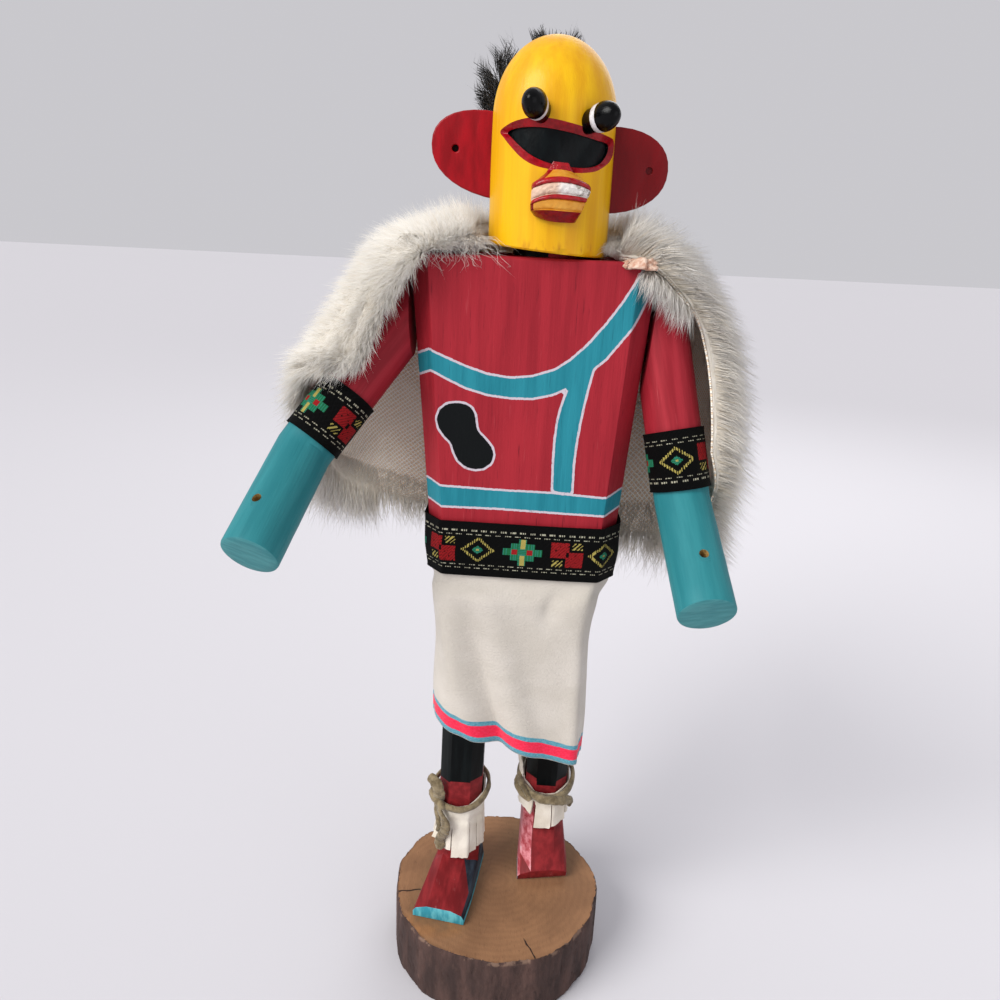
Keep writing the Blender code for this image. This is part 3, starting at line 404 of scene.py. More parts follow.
# Body.
# One carved block: neck, torso with its four upright corners cut off, hips, octagonal legs and both
# moccasins. It is painted crimson over open grain, with a turquoise sash and belt line edged in
# white, a black spot, black legs, and turquoise soles. The neck's sides are painted black, as
# painted shade under the head, and the inner side of the right moccasin's sole is painted dark
# slate, as painted shade on that turquoise side.
crimson = tint(170, 40, 52)
crimson_dark = tint(138, 26, 38)
crimson_worn = tint(204, 96, 100)
edge_white = tint(206, 196, 206)
spot_black = tint(3, 7, 9)

# Outlines on the front of the torso, across and up, in millimetres.
sash_outline = [
    (-60.0, 279.0), (-42.4, 284.0), (-35.9, 287.4), (-30.3, 285.1), (-21.6, 281.7), (-12.9, 279.1),
    (-4.2, 278.1), (4.3, 279.2), (12.7, 282.2), (18.4, 286.3), (24.7, 292.6), (30.8, 300.4),
    (35.9, 308.0), (40.2, 315.5), (43.0, 321.0), (52.0, 324.0), (47.6, 315.0), (46.0, 309.5),
    (43.7, 304.3), (40.9, 299.2), (36.4, 293.2), (31.9, 287.0), (27.5, 283.0), (26.5, 278.2),
    (25.1, 270.2), (23.9, 262.2), (22.9, 252.2), (22.5, 243.0), (22.7, 232.3), (14.5, 232.7),
    (14.1, 245.3), (14.2, 254.5), (14.8, 262.6), (16.1, 268.9), (18.1, 275.1), (12.4, 272.2),
    (4.8, 270.2), (-3.9, 270.0), (-12.6, 270.8), (-21.3, 273.0), (-30.1, 276.9), (-34.9, 279.3),
    (-41.6, 275.6), (-60.0, 271.0),
]
waist_outline = [
    (-60.0, 235.5), (-37.5, 233.7), (-30.1, 232.9), (-6.6, 232.4), (14.6, 232.4), (35.6, 231.4),
    (43.5, 233.4), (60.0, 236.0), (60.0, 227.0), (43.0, 225.4), (36.2, 223.6), (15.4, 223.9),
    (-6.3, 224.3), (-29.9, 224.0), (-37.0, 224.6), (-60.0, 227.0),
]
spot_outline = [
    (-25.1, 267.5), (-21.6, 267.4), (-18.5, 265.7), (-16.9, 262.6), (-16.5, 258.6), (-15.5, 256.0),
    (-12.3, 253.0), (-9.8, 249.9), (-9.0, 246.3), (-10.2, 243.0), (-13.2, 240.7), (-16.8, 240.0),
    (-20.8, 240.9), (-24.0, 243.5), (-25.7, 247.1), (-26.9, 250.8), (-29.6, 253.3), (-31.9, 256.4),
    (-33.0, 260.4), (-31.6, 264.4), (-28.6, 266.9),
]


def from_edge(x, z, outline):
    """How far a place is outside an outline, and below zero inside it."""
    nearest = 1e9
    inside = False
    for (x0, z0), (x1, z1) in zip(outline, outline[1:] + outline[:1]):
        run_x, run_z = x1 - x0, z1 - z0
        t = ((x - x0) * run_x + (z - z0) * run_z) / (run_x * run_x + run_z * run_z)
        t = min(1.0, max(0.0, t))
        nearest = min(nearest, math.hypot(x - x0 - t * run_x, z - z0 - t * run_z))
        if (z0 > z) != (z1 > z) and x < x0 + (z - z0) * run_x / run_z:
            inside = not inside
    return -nearest if inside else nearest


def copy_of_node(node_name, piece_name):
    """A merged copy of a CAD node, with the flat faces of its triangles joined up."""
    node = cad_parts[node_name]
    piece = bpy.data.objects.new(piece_name, node.data.copy())
    piece.data.name = piece_name
    piece.data.materials.clear()
    bpy.context.scene.collection.objects.link(piece)
    pick_up(piece)
    bpy.ops.object.mode_set(mode="EDIT")
    bpy.ops.mesh.select_all(action="SELECT")
    bpy.ops.mesh.remove_doubles(threshold=0.000002)
    bpy.ops.mesh.dissolve_limited(angle_limit=math.radians(0.6))
    bpy.ops.object.mode_set(mode="OBJECT")
    return piece


body = copy_of_node("body", "carved_body")
# The torso's top edge is a little proud of the plain block, close under the head.
torso_rise = 0.0026
rise_from = 0.3050
rise_over = 0.0140
torso_top = 0.3212
for vertex in body.data.vertices:
    if rise_from < vertex.co.z < torso_top + 0.0010:
        vertex.co.z += torso_rise * min(1.0, (vertex.co.z - rise_from) / rise_over)
settle(body, ("BEVEL", {"width": 0.00055, "segments": 3, "limit_method": "ANGLE",
                        "angle_limit": math.radians(22), "use_clamp_overlap": True}))


def open_shape(piece):
    """A copy of a piece's mesh to work on."""
    shape = bmesh.new()
    shape.from_mesh(piece.data)
    return shape


def close_shape(shape, piece):
    """Puts the worked copy back in the piece."""
    shape.to_mesh(piece.data)
    shape.free()


def slice_front(shape, point, direction, low):
    """Cuts the front of the torso along a plane, so that the paint's edges have points to follow."""
    parts = [face for face in shape.faces
             if face.calc_center_median().z > low and face.calc_center_median().y < 0.012]
    edges = {edge for face in parts for edge in face.edges}
    corners = {corner for face in parts for corner in face.verts}
    bmesh.ops.bisect_plane(shape, geom=[*corners, *edges, *parts], dist=1e-6,
                           plane_co=point, plane_no=direction)


torso_low = 0.2165
torso_right = -0.0452
front_cut = 0.0016
shape = open_shape(body)
slice_front(shape, (0.0, 0.0, torso_low), (0.0, 0.0, 1.0), 0.0)
for k in range(1, 66):
    slice_front(shape, (0.0, 0.0, torso_low + front_cut * k), (0.0, 0.0, 1.0), torso_low)
for k in range(60):
    slice_front(shape, (torso_right + front_cut * k, 0.0, 0.0), (1.0, 0.0, 0.0), torso_low)
# Each leg is cut in rows where its black paint ends; the legs part at between_legs.
between_legs = 0.0023
leg_cut = 0.0008
black_ends = {"right": 0.0870, "left": 0.0775}
for x_low, x_high, level in ((-0.05, between_legs, black_ends["right"]),
                             (between_legs, 0.05, black_ends["left"])):
    parts = [face for face in shape.faces if x_low < face.calc_center_median().x < x_high
             and face.calc_center_median().z < 0.17]
    for step in range(-6, 13):
        cut_edges = {edge for face in parts for edge in face.edges}
        cut_corners = {corner for face in parts for corner in face.verts}
        made = bmesh.ops.bisect_plane(shape, geom=[*cut_corners, *cut_edges, *parts], dist=1e-6,
                                      plane_co=(0.0, 0.0, level + leg_cut * step), plane_no=(0.0, 0.0, 1.0))
        parts = [item for item in made["geom"] if isinstance(item, bmesh.types.BMFace)]
close_shape(shape, body)
for attribute, outline in (("sash", sash_outline), ("waist", waist_outline), ("spot", spot_outline)):
    layer = body.data.attributes.new(attribute, "FLOAT", "POINT")
    for vertex, value in zip(body.data.vertices, layer.data):
        x, y, z = [part * 1000 for part in vertex.co]
        value.value = from_edge(x, z, outline) if z > 214 and y < 14 else 30.0

torso_paint = Finish("crimson_torso_paint", 0.55, shine=0.15)
pores = torso_paint.grain((1500.0, 1500.0, 70.0), 4.0, 0.6)
brush = torso_paint.grain((260.0, 260.0, 16.0), 4.0, 0.55)
cloudy = torso_paint.grain((30.0, 30.0, 14.0), 3.0)
edge_shake = torso_paint.sum("SUBTRACT", torso_paint.grain((900.0, 900.0, 500.0), 3.0), 0.5)
ragged = torso_paint.sum("MULTIPLY", edge_shake, 0.55)
red = torso_paint.blend(torso_paint.spread(brush, 0.30, 0.72, 0.35, 1.0), crimson_dark, crimson)
red = torso_paint.layer(red, cloudy, 0.45, 0.68, tint(176, 44, 54), 0.45)
red = torso_paint.layer(red, pores, 0.62, 0.80, crimson_worn, 0.32)
red = torso_paint.layer(red, pores, 0.40, 0.26, tint(88, 16, 28), 0.65)
blue = torso_paint.layer(tint(30, 124, 140), brush, 0.30, 0.70, tint(42, 140, 156))
blue = torso_paint.layer(blue, pores, 0.42, 0.24, tint(18, 84, 100), 0.5)
sash = torso_paint.sum("ADD", torso_paint.stored("sash"), ragged)
waist = torso_paint.sum("ADD", torso_paint.stored("waist"), ragged)
band = torso_paint.sum("MINIMUM", sash, waist)
colour = torso_paint.layer(red, band, 0.10, -0.10, blue)
line = torso_paint.sum("MINIMUM", torso_paint.sum("ABSOLUTE", sash), torso_paint.sum("ABSOLUTE", waist))
line_cover = torso_paint.spread(torso_paint.grain((700.0, 700.0, 400.0), 3.0), 0.28, 0.42, 0.55, 1.0)
on_line = torso_paint.sum("MULTIPLY", torso_paint.spread(line, 0.54, 0.36), line_cover)
colour = torso_paint.blend(on_line, colour, edge_white)
spot = torso_paint.sum("ADD", torso_paint.stored("spot"), torso_paint.sum("MULTIPLY", ragged, 0.6))
colour = torso_paint.layer(colour, spot, 0.10, -0.10, spot_black)
spot_line = torso_paint.spread(torso_paint.sum("ABSOLUTE", spot), 0.52, 0.34)
colour = torso_paint.blend(torso_paint.sum("MULTIPLY", spot_line, line_cover), colour, edge_white)
torso_paint.relief(pores, 0.00016)
torso_paint.relief(brush, 0.00010)
body.data.materials.append(torso_paint.done(colour))


def two_tone(name, roughness, dark, light, size, low, high, depth, rough=0.55, **look):
    """A plain paint of two tones, with its grain standing out by a depth."""
    finish = Finish(name, roughness, **look)
    speck = finish.grain(size, 4.0, rough)
    if depth:
        finish.relief(speck, depth)
    return finish.done(finish.layer(dark, speck, low, high, light))


# The black leg paint also goes on the neck's sides, as painted shade under the head.
body.data.materials.append(two_tone("black_leg_and_neck_shade_paint", 0.42, tint(3, 6, 7), tint(13, 19, 20),
                                    (500.0, 500.0, 40.0), 0.4, 0.7, 0.00010, shine=0.10))

moccasin_paint = Finish("crimson_moccasin_paint", 0.5, shine=0.16)
foot_grain = moccasin_paint.grain((300.0, 60.0, 300.0), 4.0)
foot_scuff = moccasin_paint.grain((160.0, 60.0, 160.0), 5.0, 0.7)
foot_colour = moccasin_paint.layer(tint(116, 28, 32), foot_grain, 0.35, 0.68, tint(146, 40, 44))
foot_colour = moccasin_paint.layer(foot_colour, foot_scuff, 0.62, 0.78, tint(206, 132, 134), 0.5)
moccasin_paint.relief(foot_grain, 0.00015)
body.data.materials.append(moccasin_paint.done(foot_colour))

body.data.materials.append(two_tone("turquoise_sole_paint", 0.55, tint(52, 142, 160), tint(104, 186, 196),
                                    (400.0, 400.0, 120.0), 0.35, 0.68, 0.00012, shine=0.2))

# A paler pink with light flecks, for the left moccasin's facets that face the doll's right.
pale_facet_paint = Finish("pale_facet_moccasin_paint", 0.5, shine=0.2)
pale_facet_grain = pale_facet_paint.grain((420.0, 60.0, 420.0), 5.0, 0.7)
pale_facet_colour = pale_facet_paint.layer(tint(172, 66, 74), pale_facet_grain, 0.38, 0.62, tint(222, 140, 148))
pale_facet_colour = pale_facet_paint.layer(pale_facet_colour, pale_facet_grain, 0.62, 0.72, tint(240, 206, 208), 0.7)
body.data.materials.append(pale_facet_paint.done(pale_facet_colour))

# Dark slate for the right moccasin's inner sole side: painted shade on a side that is turquoise.
body.data.materials.append(two_tone("shaded_sole_side_paint", 0.5, tint(30, 38, 48), tint(62, 78, 92),
                                    (300.0, 60.0, 300.0), 0.35, 0.68, 0.0, shine=0.15))

# The right foot's toe and the left foot's, on the base, with the turn of each in degrees.
right_toe = Vector((-0.0251, -0.0271, base_top))
left_toe = Vector((0.0220, 0.0026, base_top))
for face in body.data.polygons:
    centre = face.center
    # The neck's upright faces above the torso's top are painted black: painted shade under the head.
    if centre.z > torso_top + torso_rise and abs(face.normal.z) < 0.7:
        face.material_index = 1
    if centre.z > 0.17:
        continue
    on_left = centre.x > between_legs
    toe = left_toe if on_left else right_toe
    turn = Matrix.Rotation(math.radians(-2.0 if on_left else 9.2), 4, "Z")
    lift = Matrix.Rotation(math.radians(-20.0 if on_left else 0.0), 4, "X")
    across, along, high = lift @ (turn @ (centre - toe))
    boundary = black_ends["left"] + 0.5 * abs(across) if on_left else black_ends["right"] + 0.12 * across
    face.material_index = 1 if centre.z > boundary else 2
    if centre.z < 0.05 and (high < 0.0027 or (along < 0.0006 and not on_left)):
        face.material_index = 3
    elif on_left and centre.z < 0.072 and face.normal.x < -0.45 and face.normal.y < 0.5:
        # Facets of the left foot that face the doll's right get the paler pink.
        face.material_index = 4
    elif not on_left and centre.z < 0.05 and face.normal.x > 0.62 and high < 0.022:
        # The right foot's low side facing away from the window is painted dark slate: painted shade.
        face.material_index = 5
smooth(body, 35)
fix_to_doll(body, "red_paint", "body")

# Head.
# A turned cylinder with a domed crown, sawn at a slant underneath and pinned on a short neck. Its
# crescent mouth is carved in with bevelled red lips and a black floor. The yellow paint is brushed.
head_radius = 0.0228
head_low = 0.3251
head_crown = 0.3997
dome_height = 0.0280
head_x = 0.0069
head_y = 0.0072
head_cut = math.tan(math.radians(4.5))
face_turn = math.radians(10.5)
face_tilt = math.sin(math.radians(3.2))


def on_head(angle, height, radius):
    """A place round the head, from the face's middle, at a height above the underside."""
    turn = face_turn + angle
    tilt = -face_tilt * head_radius * math.sin(angle)
    across, forward = radius * math.sin(turn), radius * math.cos(turn)
    return Vector((head_x + across, head_y - forward, head_low + height + tilt))


bpy.ops.mesh.primitive_circle_add(vertices=176, radius=head_radius - 0.0007, fill_type="NGON",
                                  location=(head_x, head_y, head_low))
head = start_piece("carved_head")
wall_height = head_crown - head_low - dome_height
low_round = 0.0007
lower_rows = [(0.0002, 0.0003), (low_round, low_round)]
lower_rows += [(low_round + (wall_height - low_round) * k / 34, low_round) for k in range(1, 35)]
radius_now, height_now = head_radius - low_round, 0.0
steps = [(head_radius - low_round + swell, rise) for rise, swell in lower_rows]
for k in range(1, 25):
    turn = math.pi / 2 * k / 25
    steps.append((head_radius * math.cos(turn), wall_height + dome_height * math.sin(turn)))
for radius, height in steps:
    bpy.ops.mesh.extrude_region_move(TRANSFORM_OT_translate={"value": (0.0, 0.0, height - height_now)})
    factor = radius / radius_now
    bpy.ops.transform.resize(value=(factor, factor, 1.0), center_override=(head_x, head_y, head_low + height))
    radius_now, height_now = radius, height
last_rise = head_crown - head_low - height_now
bpy.ops.mesh.extrude_region_move(TRANSFORM_OT_translate={"value": (0.0, 0.0, last_rise)})
bpy.ops.mesh.merge(type="CENTER")
bpy.ops.mesh.select_all(action="SELECT")
bpy.ops.mesh.normals_make_consistent(inside=False)
bpy.ops.object.mode_set(mode="OBJECT")
put_in_place(head)
for vertex in head.data.vertices:
    height = vertex.co.z - head_low
    fade = max(0.0, 1.0 - height / (0.4 * (head_crown - head_low)))
    vertex.co.z -= head_cut * (vertex.co.x - head_x) * fade
    dent = uneven(vertex.co.x * 70, vertex.co.y * 70, vertex.co.z * 40)
    out = Vector((vertex.co.x - head_x, vertex.co.y - head_y, 0.0))
    if height > 0.001 and out.length > 0.001:
        vertex.co += out.normalized() * 0.00018 * dent
    nick = uneven(vertex.co.x * 160, vertex.co.y * 160, 3.0)
    if height < 0.0012 and nick > 0.28:
        vertex.co += out.normalized() * -0.0009 * (nick - 0.28) / 0.3

# The mouth's outline and the black floor's, as degrees round the face and heights in millimetres.
lip_outline = [
    (-67.0, 39.4), (-57.0, 41.6), (-44.0, 43.4), (-28.0, 44.5), (-12.0, 44.5), (8.0, 43.6), (24.0, 42.8),
    (38.0, 42.0), (52.0, 41.6), (63.0, 41.2), (69.0, 39.4), (67.5, 36.8), (59.0, 34.0), (46.0, 31.3),
    (32.0, 28.9), (12.0, 27.6), (-8.0, 27.8), (-24.0, 28.5), (-38.0, 30.6), (-50.0, 33.9), (-60.5, 37.2),
]
floor_outline = [
    (-61.0, 39.1), (-52.0, 40.4), (-36.0, 41.2), (-18.0, 41.4), (4.0, 40.8), (22.0, 40.1), (38.0, 39.6),
    (52.0, 39.5), (61.0, 38.9), (60.5, 36.9), (53.0, 34.4), (42.0, 31.8), (27.0, 30.1), (10.0, 29.5),
    (-6.0, 29.7), (-21.0, 30.7), (-34.0, 32.6), (-45.0, 35.1), (-54.5, 37.4),
]


def smooth_round(outline, count):
    """A closed outline with count points, rounded through the given ones."""
    total = len(outline)
    points = []
    for k in range(count):
        place = k * total / count
        i = int(place)
        f = place - i
        a, b, c, d = [outline[(i + step) % total] for step in (-1, 0, 1, 2)]
        points.append(tuple(
            0.5 * (2 * b[n] + (c[n] - a[n]) * f + (2 * a[n] - 5 * b[n] + 4 * c[n] - d[n]) * f * f
                   + (3 * b[n] - a[n] - 3 * c[n] + d[n]) * f ** 3) for n in range(2)))
    return points


mouth_points = 132
lip_line = smooth_round(lip_outline, mouth_points)
floor_line = smooth_round(floor_outline, mouth_points)
bpy.ops.mesh.primitive_circle_add(vertices=mouth_points, radius=0.01, fill_type="NOTHING")
cutter = start_piece("mouth_gouge")
for depth_step in range(3):
    bpy.ops.mesh.extrude_region_move(TRANSFORM_OT_translate={"value": (0.0, 0.0, -0.001)})
bpy.ops.object.mode_set(mode="OBJECT")
for index, vertex in enumerate(cutter.data.vertices):
    layer, k = divmod(index, mouth_points)
    outer, inner = lip_line[k], floor_line[k]
    share, radius = ((-0.12, head_radius + 0.0006), (0.0, head_radius + 0.0001), (1.0, head_radius - 0.0016),
                     (1.02, head_radius - 0.0026))[layer]
    angle = outer[0] + (inner[0] - outer[0]) * share
    height = outer[1] + (inner[1] - outer[1]) * share
    vertex.co = on_head(math.radians(angle), height * 0.001, radius)
shape = open_shape(cutter)
shape.verts.ensure_lookup_table()
for layer in (0, 3):
    rim = [shape.verts[layer * mouth_points + k] for k in range(mouth_points)]
    # A strip of faces closes each end: the outline's upper and lower halves are joined point to point.
    for k in range(mouth_points // 2):
        a, b = rim[k], rim[k + 1]
        c, d = rim[(mouth_points - k - 1) % mouth_points], rim[(mouth_points - k) % mouth_points]
        corners = [a, b, c, d]
        kept = [corner for n, corner in enumerate(corners) if corner not in corners[:n]]
        if len(kept) > 2:
            face = shape.faces.new(kept)
            face.material_index = 2 if layer == 3 else 0
for face in shape.faces:
    layers = sorted(vertex.index // mouth_points for vertex in face.verts)
    if layers[0] == 2 and layers[-1] == 3:
        face.material_index = 2
    elif layers[-1] <= 2 and layers[0] != layers[-1]:
        face.material_index = 1
bmesh.ops.recalc_face_normals(shape, faces=shape.faces)
close_shape(shape, cutter)

head_paint = Finish("yellow_head_paint", 0.42, coat=0.06, shine=0.24)
head_brush = head_paint.grain((190.0, 190.0, 11.0), 4.0, 0.55)
head_fine = head_paint.grain((1100.0, 1100.0, 50.0), 3.0, 0.6)
head_cloud = head_paint.grain((36.0, 36.0, 20.0), 3.0)
head_colour = head_paint.layer(tint(228, 164, 2), head_brush, 0.30, 0.72, tint(243, 188, 6))
head_colour = head_paint.layer(head_colour, head_cloud, 0.50, 0.72, tint(232, 160, 12), 0.35)
head_colour = head_paint.layer(head_colour, head_fine, 0.64, 0.82, tint(252, 216, 70), 0.25)
head_height = head_paint.axes()
# Towards the underside the yellow is darker in patches.
underside_darkening = head_paint.sum("MULTIPLY", head_paint.spread(head_height["Z"], 0.3262, 0.3305, 0.55, 0.0),
                       head_paint.spread(head_paint.grain((420.0, 420.0, 160.0), 4.0), 0.52, 0.68))
head_colour = head_paint.blend(underside_darkening, head_colour, tint(188, 112, 22))
head_paint.relief(head_fine, 0.00009)
head_paint.relief(head_brush, 0.00022)
lip_made = two_tone("gloss_lip_paint", 0.28, tint(132, 4, 18), tint(168, 12, 26),
                    (500.0, 500.0, 500.0), 0.32, 0.7, 0.00025, coat=0.12, shine=0.22)
mouth_made = two_tone("black_mouth_paint", 0.34, tint(2, 5, 7), tint(9, 17, 19),
                      (300.0, 300.0, 160.0), 0.35, 0.7, 0.0003, coat=0.03, shine=0.12)
for made in (head_paint.done(head_colour), lip_made, mouth_made):
    head.data.materials.append(made)
    cutter.data.materials.append(made)
settle(head, ("BOOLEAN", {"operation": "DIFFERENCE", "object": cutter, "solver": "EXACT"}))
bpy.data.objects.remove(cutter, do_unlink=True)
smooth(head, 28)
fix_to_doll(head, "yellow_paint", "head")

# Snout.
# A small carved block glued under the mouth: a red bridge that runs up to the lower lip, yellow top
# facets, a red upper lip, a band of putty teeth, a thin lower lip, a yellow chin, and a red rim.
snout_columns = 72
snout_top = 28.5
snout_drop = 17.6
# Zones from top to bottom: their left and right ends in degrees round the face, how far down their
# left, middle and right are as a share of the drop, their reach in millimetres, and their rows.
snout_zones = [
    ("bridge", -9.5, 4.5, -0.12, -0.12, -0.12, 0.5, 8),
    ("slope", -15.0, 9.0, 0.09, 0.02, 0.05, 1.6, 12),
    ("upper_lip", -25.5, 20.8, 0.36, 0.16, 0.31, 7.4, 7),
    ("teeth", -25.0, 20.8, 0.465, 0.27, 0.40, 8.2, 11),
    ("lower_lip", -25.3, 19.0, 0.69, 0.49, 0.53, 7.7, 6),
    ("chin", -25.5, 17.5, 0.765, 0.585, 0.61, 8.0, 9),
    ("rim", -25.8, 16.0, 0.85, 0.80, 0.79, 6.4, 6),
    ("end", -24.0, 13.5, 0.93, 1.02, 0.99, 2.0, 0),
]
snout_bulges = {"upper_lip": 0.6, "teeth": 0.5, "lower_lip": 0.55}
snout_rows = []
for upper_zone, lower_zone in zip(snout_zones, snout_zones[1:]):
    name, rows = upper_zone[0], upper_zone[-1]
    for k in range(rows):
        t = k / rows
        mixed = [a + (b - a) * t for a, b in zip(upper_zone[1:-1], lower_zone[1:-1])]
        mixed[-1] += snout_bulges.get(name, 0.0) * math.sin(math.pi * t)
        if name in ("teeth", "chin") and k in (0, rows - 1):
            mixed[-1] -= 0.55
        snout_rows.append((name, *mixed))
snout_rows.append(("rim", *snout_zones[-1][1:-1]))
row_count = len(snout_rows)
bpy.ops.mesh.primitive_grid_add(x_subdivisions=snout_columns, y_subdivisions=row_count + 1, size=2.0)
snout = start_piece("carved_snout")
bpy.ops.object.mode_set(mode="OBJECT")
columns_made = len({round(vertex.co.x, 5) for vertex in snout.data.vertices})
lines_made = len(snout.data.vertices) // columns_made
for index, vertex in enumerate(snout.data.vertices):
    line, column = divmod(index, columns_made)
    t = -1.0 + 2.0 * column / (columns_made - 1)
    row = min(max(lines_made - 1 - line - 1, 0), row_count - 1)
    name, left, right, low_left, low_middle, low_right, reach = snout_rows[row]
    drop = low_middle + ((low_left if t < 0 else low_right) - low_middle) * t * t
    angle = left + (right - left) * (t + 1.0) / 2
    round_off = 1.0 - 0.40 * max(0.0, (abs(t) - 0.80) / 0.20) ** 2.0
    bow = 0.72 + 0.28 * math.sqrt(max(0.0, 1.0 - t * t))
    out = head_radius + reach * 0.001 * bow * round_off
    lump = 0.00035 if name == "teeth" else 0.00012
    out += lump * uneven(t * 9.0, drop * 24.0, 2.0)
    if line in (0, lines_made - 1):
        out = head_radius - 0.0010
    if column in (0, columns_made - 1):
        out = head_radius - 0.0005
    height = (snout_top - snout_drop * drop) * 0.001
    vertex.co = on_head(math.radians(angle), height, out)


def zone_paint(name, light, dark, roughness, grain_size, depth):
    size = (grain_size, grain_size, grain_size)
    return two_tone(name, roughness, dark, light, size, 0.32, 0.68, depth, coat=0.15, shine=0.3)


putty = Finish("snout_putty", 0.5, coat=0.1)
putty_place = putty.axes()
putty_lumps = putty.grain((600.0, 600.0, 600.0), 4.0)
putty_dirt = putty.grain((420.0, 420.0, 420.0), 5.0, 0.7)
putty_colour = putty.layer(tint(226, 192, 168), putty_place["X"], 0.0085, 0.0115, tint(242, 236, 230))
dirt_share = putty.sum("MULTIPLY", putty.spread(putty_place["X"], 0.0130, 0.0180, 0.05, 0.9),
                       putty.spread(putty_dirt, 0.47, 0.60))
putty_colour = putty.blend(dirt_share, putty_colour, tint(122, 108, 86))
putty.relief(putty_lumps, 0.0005)
snout_paints = {
    "red": zone_paint("snout_red_paint", tint(178, 18, 30), tint(142, 8, 20), 0.25, 500.0, 0.0003),
    "yellow": zone_paint("snout_yellow_paint", tint(240, 172, 66), tint(224, 142, 30), 0.35, 300.0, 0.0002),
    "putty": putty.done(putty_colour),
    "rim": zone_paint("snout_rim_paint", tint(150, 12, 26), tint(118, 8, 20), 0.22, 500.0, 0.0003),
}
paint_order = list(snout_paints)
for name in paint_order:
    snout.data.materials.append(snout_paints[name])
zone_of = {"bridge": "red", "slope": "yellow", "upper_lip": "red", "teeth": "putty", "lower_lip": "red",
           "chin": "yellow", "rim": "rim", "end": "rim"}
for index, face in enumerate(snout.data.polygons):
    line, column = divmod(index, columns_made - 1)
    row = min(max(lines_made - 2 - line - 1, 0), row_count - 1)
    name = snout_rows[row][0]
    zone = zone_of[name]
    t = -1.0 + 2.0 * (column + 0.5) / (columns_made - 1)
    if name == "slope" and t < -0.52:
        zone = "red"
    if name == "chin" and (t < -0.80 or t > 0.94):
        zone = "rim"
    if abs(t) > 0.95 and zone != "putty":
        zone = "rim"
    face.material_index = paint_order.index(zone)
settle(snout, ("SOLIDIFY", {"thickness": 0.0010, "offset": -1.0}))
smooth(snout, 38)
fix_to_doll(snout, "gloss_red_paint", "snout")

# Eyes.
# Short turned pegs glued on the head: a black stub, a ring of white paint, and a glossy black ball.
black_gloss = two_tone("black_eye_paint", 0.2, tint(2, 2, 3), tint(20, 20, 23),
                       (650.0, 650.0, 650.0), 0.64, 0.82, 0.00012, rough=0.7, coat=0.04, shine=0.13)
ring_white = zone_paint("white_ring_paint", tint(236, 236, 240), tint(204, 200, 204), 0.35, 600.0, 0.0001)
# Profile of a peg: share of its length and of its radius. The white ring is between rows 5 and 7.
peg_profile = [(0.0, 0.84), (0.20, 0.84), (0.37, 0.85), (0.395, 0.90), (0.405, 0.94), (0.42, 0.965),
               (0.47, 0.985), (0.52, 1.00), (0.56, 1.00), (0.585, 1.02), (0.63, 1.02), (0.70, 0.98),
               (0.77, 0.91), (0.84, 0.80), (0.90, 0.66), (0.945, 0.49), (0.975, 0.32), (0.992, 0.14)]
peg_radius = 0.0046
peg_length = 0.0178
for side, place, height in (("right", -22.6, 46.4), ("left", 22.7, 44.7)):
    sign = 1 if side == "left" else -1
    angle = math.radians(place)
    foot = on_head(angle, height * 0.001, head_radius - 0.003)
    pointing = face_turn + angle + sign * math.radians(3.0)
    axis = Vector((math.sin(pointing), -math.cos(pointing), math.tan(math.radians(8.0)))).normalized()
    across = axis.cross(Vector((0.0, 0.0, 1.0))).normalized()
    upward = across.cross(axis)
    bpy.ops.mesh.primitive_cylinder_add(vertices=48, radius=1.0, depth=1.0, end_fill_type="NGON")
    eye = start_piece(f"{side}_peg_eye")
    cut_rings(eye, len(peg_profile) - 2)
    bpy.ops.object.mode_set(mode="OBJECT")
    for vertex in eye.data.vertices:
        row = round((vertex.co.z + 0.5) * (len(peg_profile) - 1))
        along, wide = peg_profile[row]
        turn = math.atan2(vertex.co.y, vertex.co.x)
        spread = peg_radius * wide * (0.92 * math.cos(turn) * across + 1.06 * math.sin(turn) * upward)
        vertex.co = foot + axis * peg_length * along + spread
    shape = open_shape(eye)
    ends = [face for face in shape.faces if len(face.verts) > 4]
    tip = max(ends, key=lambda face: (face.calc_center_median() - foot).dot(axis))
    closed = bmesh.ops.poke(shape, faces=[tip])
    for vertex in closed["verts"]:
        vertex.co = foot + axis * peg_length
    bmesh.ops.recalc_face_normals(shape, faces=shape.faces)
    close_shape(shape, eye)
    eye.data.materials.append(black_gloss)
    eye.data.materials.append(ring_white)
    for face in eye.data.polygons:
        share = (face.center - foot).dot(axis) / peg_length
        face.material_index = 1 if 0.400 < share < 0.565 else 0
    smooth(eye, 50)
    fix_to_doll(eye, "black_paint", f"{side}_eye")

# Ears.
# Half rounds sawn from thin board, let into kerfs in the head, painted glossy red, and drilled for
# ear drops that are missing.
ear_paint = Finish("gloss_ear_paint", 0.34, coat=0.06, shine=0.18)
ear_brush = ear_paint.grain((220.0, 220.0, 60.0), 4.0)
ear_colour = ear_paint.layer(tint(136, 3, 16), ear_brush, 0.32, 0.68, tint(166, 8, 24))
ear_streak = ear_paint.grain((700.0, 700.0, 40.0), 3.0, 0.6)
ear_colour = ear_paint.layer(ear_colour, ear_streak, 0.68, 0.84, tint(206, 60, 66), 0.12)
# The doll's left ear is painted darker all over: painted shade for the ear on the side away from the window.
ear_shade_side = ear_paint.axes()
ear_colour = ear_paint.layer(ear_colour, ear_shade_side["X"], 0.0, 0.01, tint(104, 8, 14), 0.75)
ear_paint.relief(ear_brush, 0.00025)
ear_made = ear_paint.done(ear_colour)
# A near-black colour for inside the right ear's hole: painted shade.
hole_shade_paint = Finish("ear_hole_painted_shade", 0.8, shine=0.05)
hole_grain = hole_shade_paint.grain((900.0, 900.0, 900.0), 2.0)
hole_shade_made = hole_shade_paint.done(hole_shade_paint.blend(hole_grain, tint(10, 6, 6), tint(30, 10, 10)))
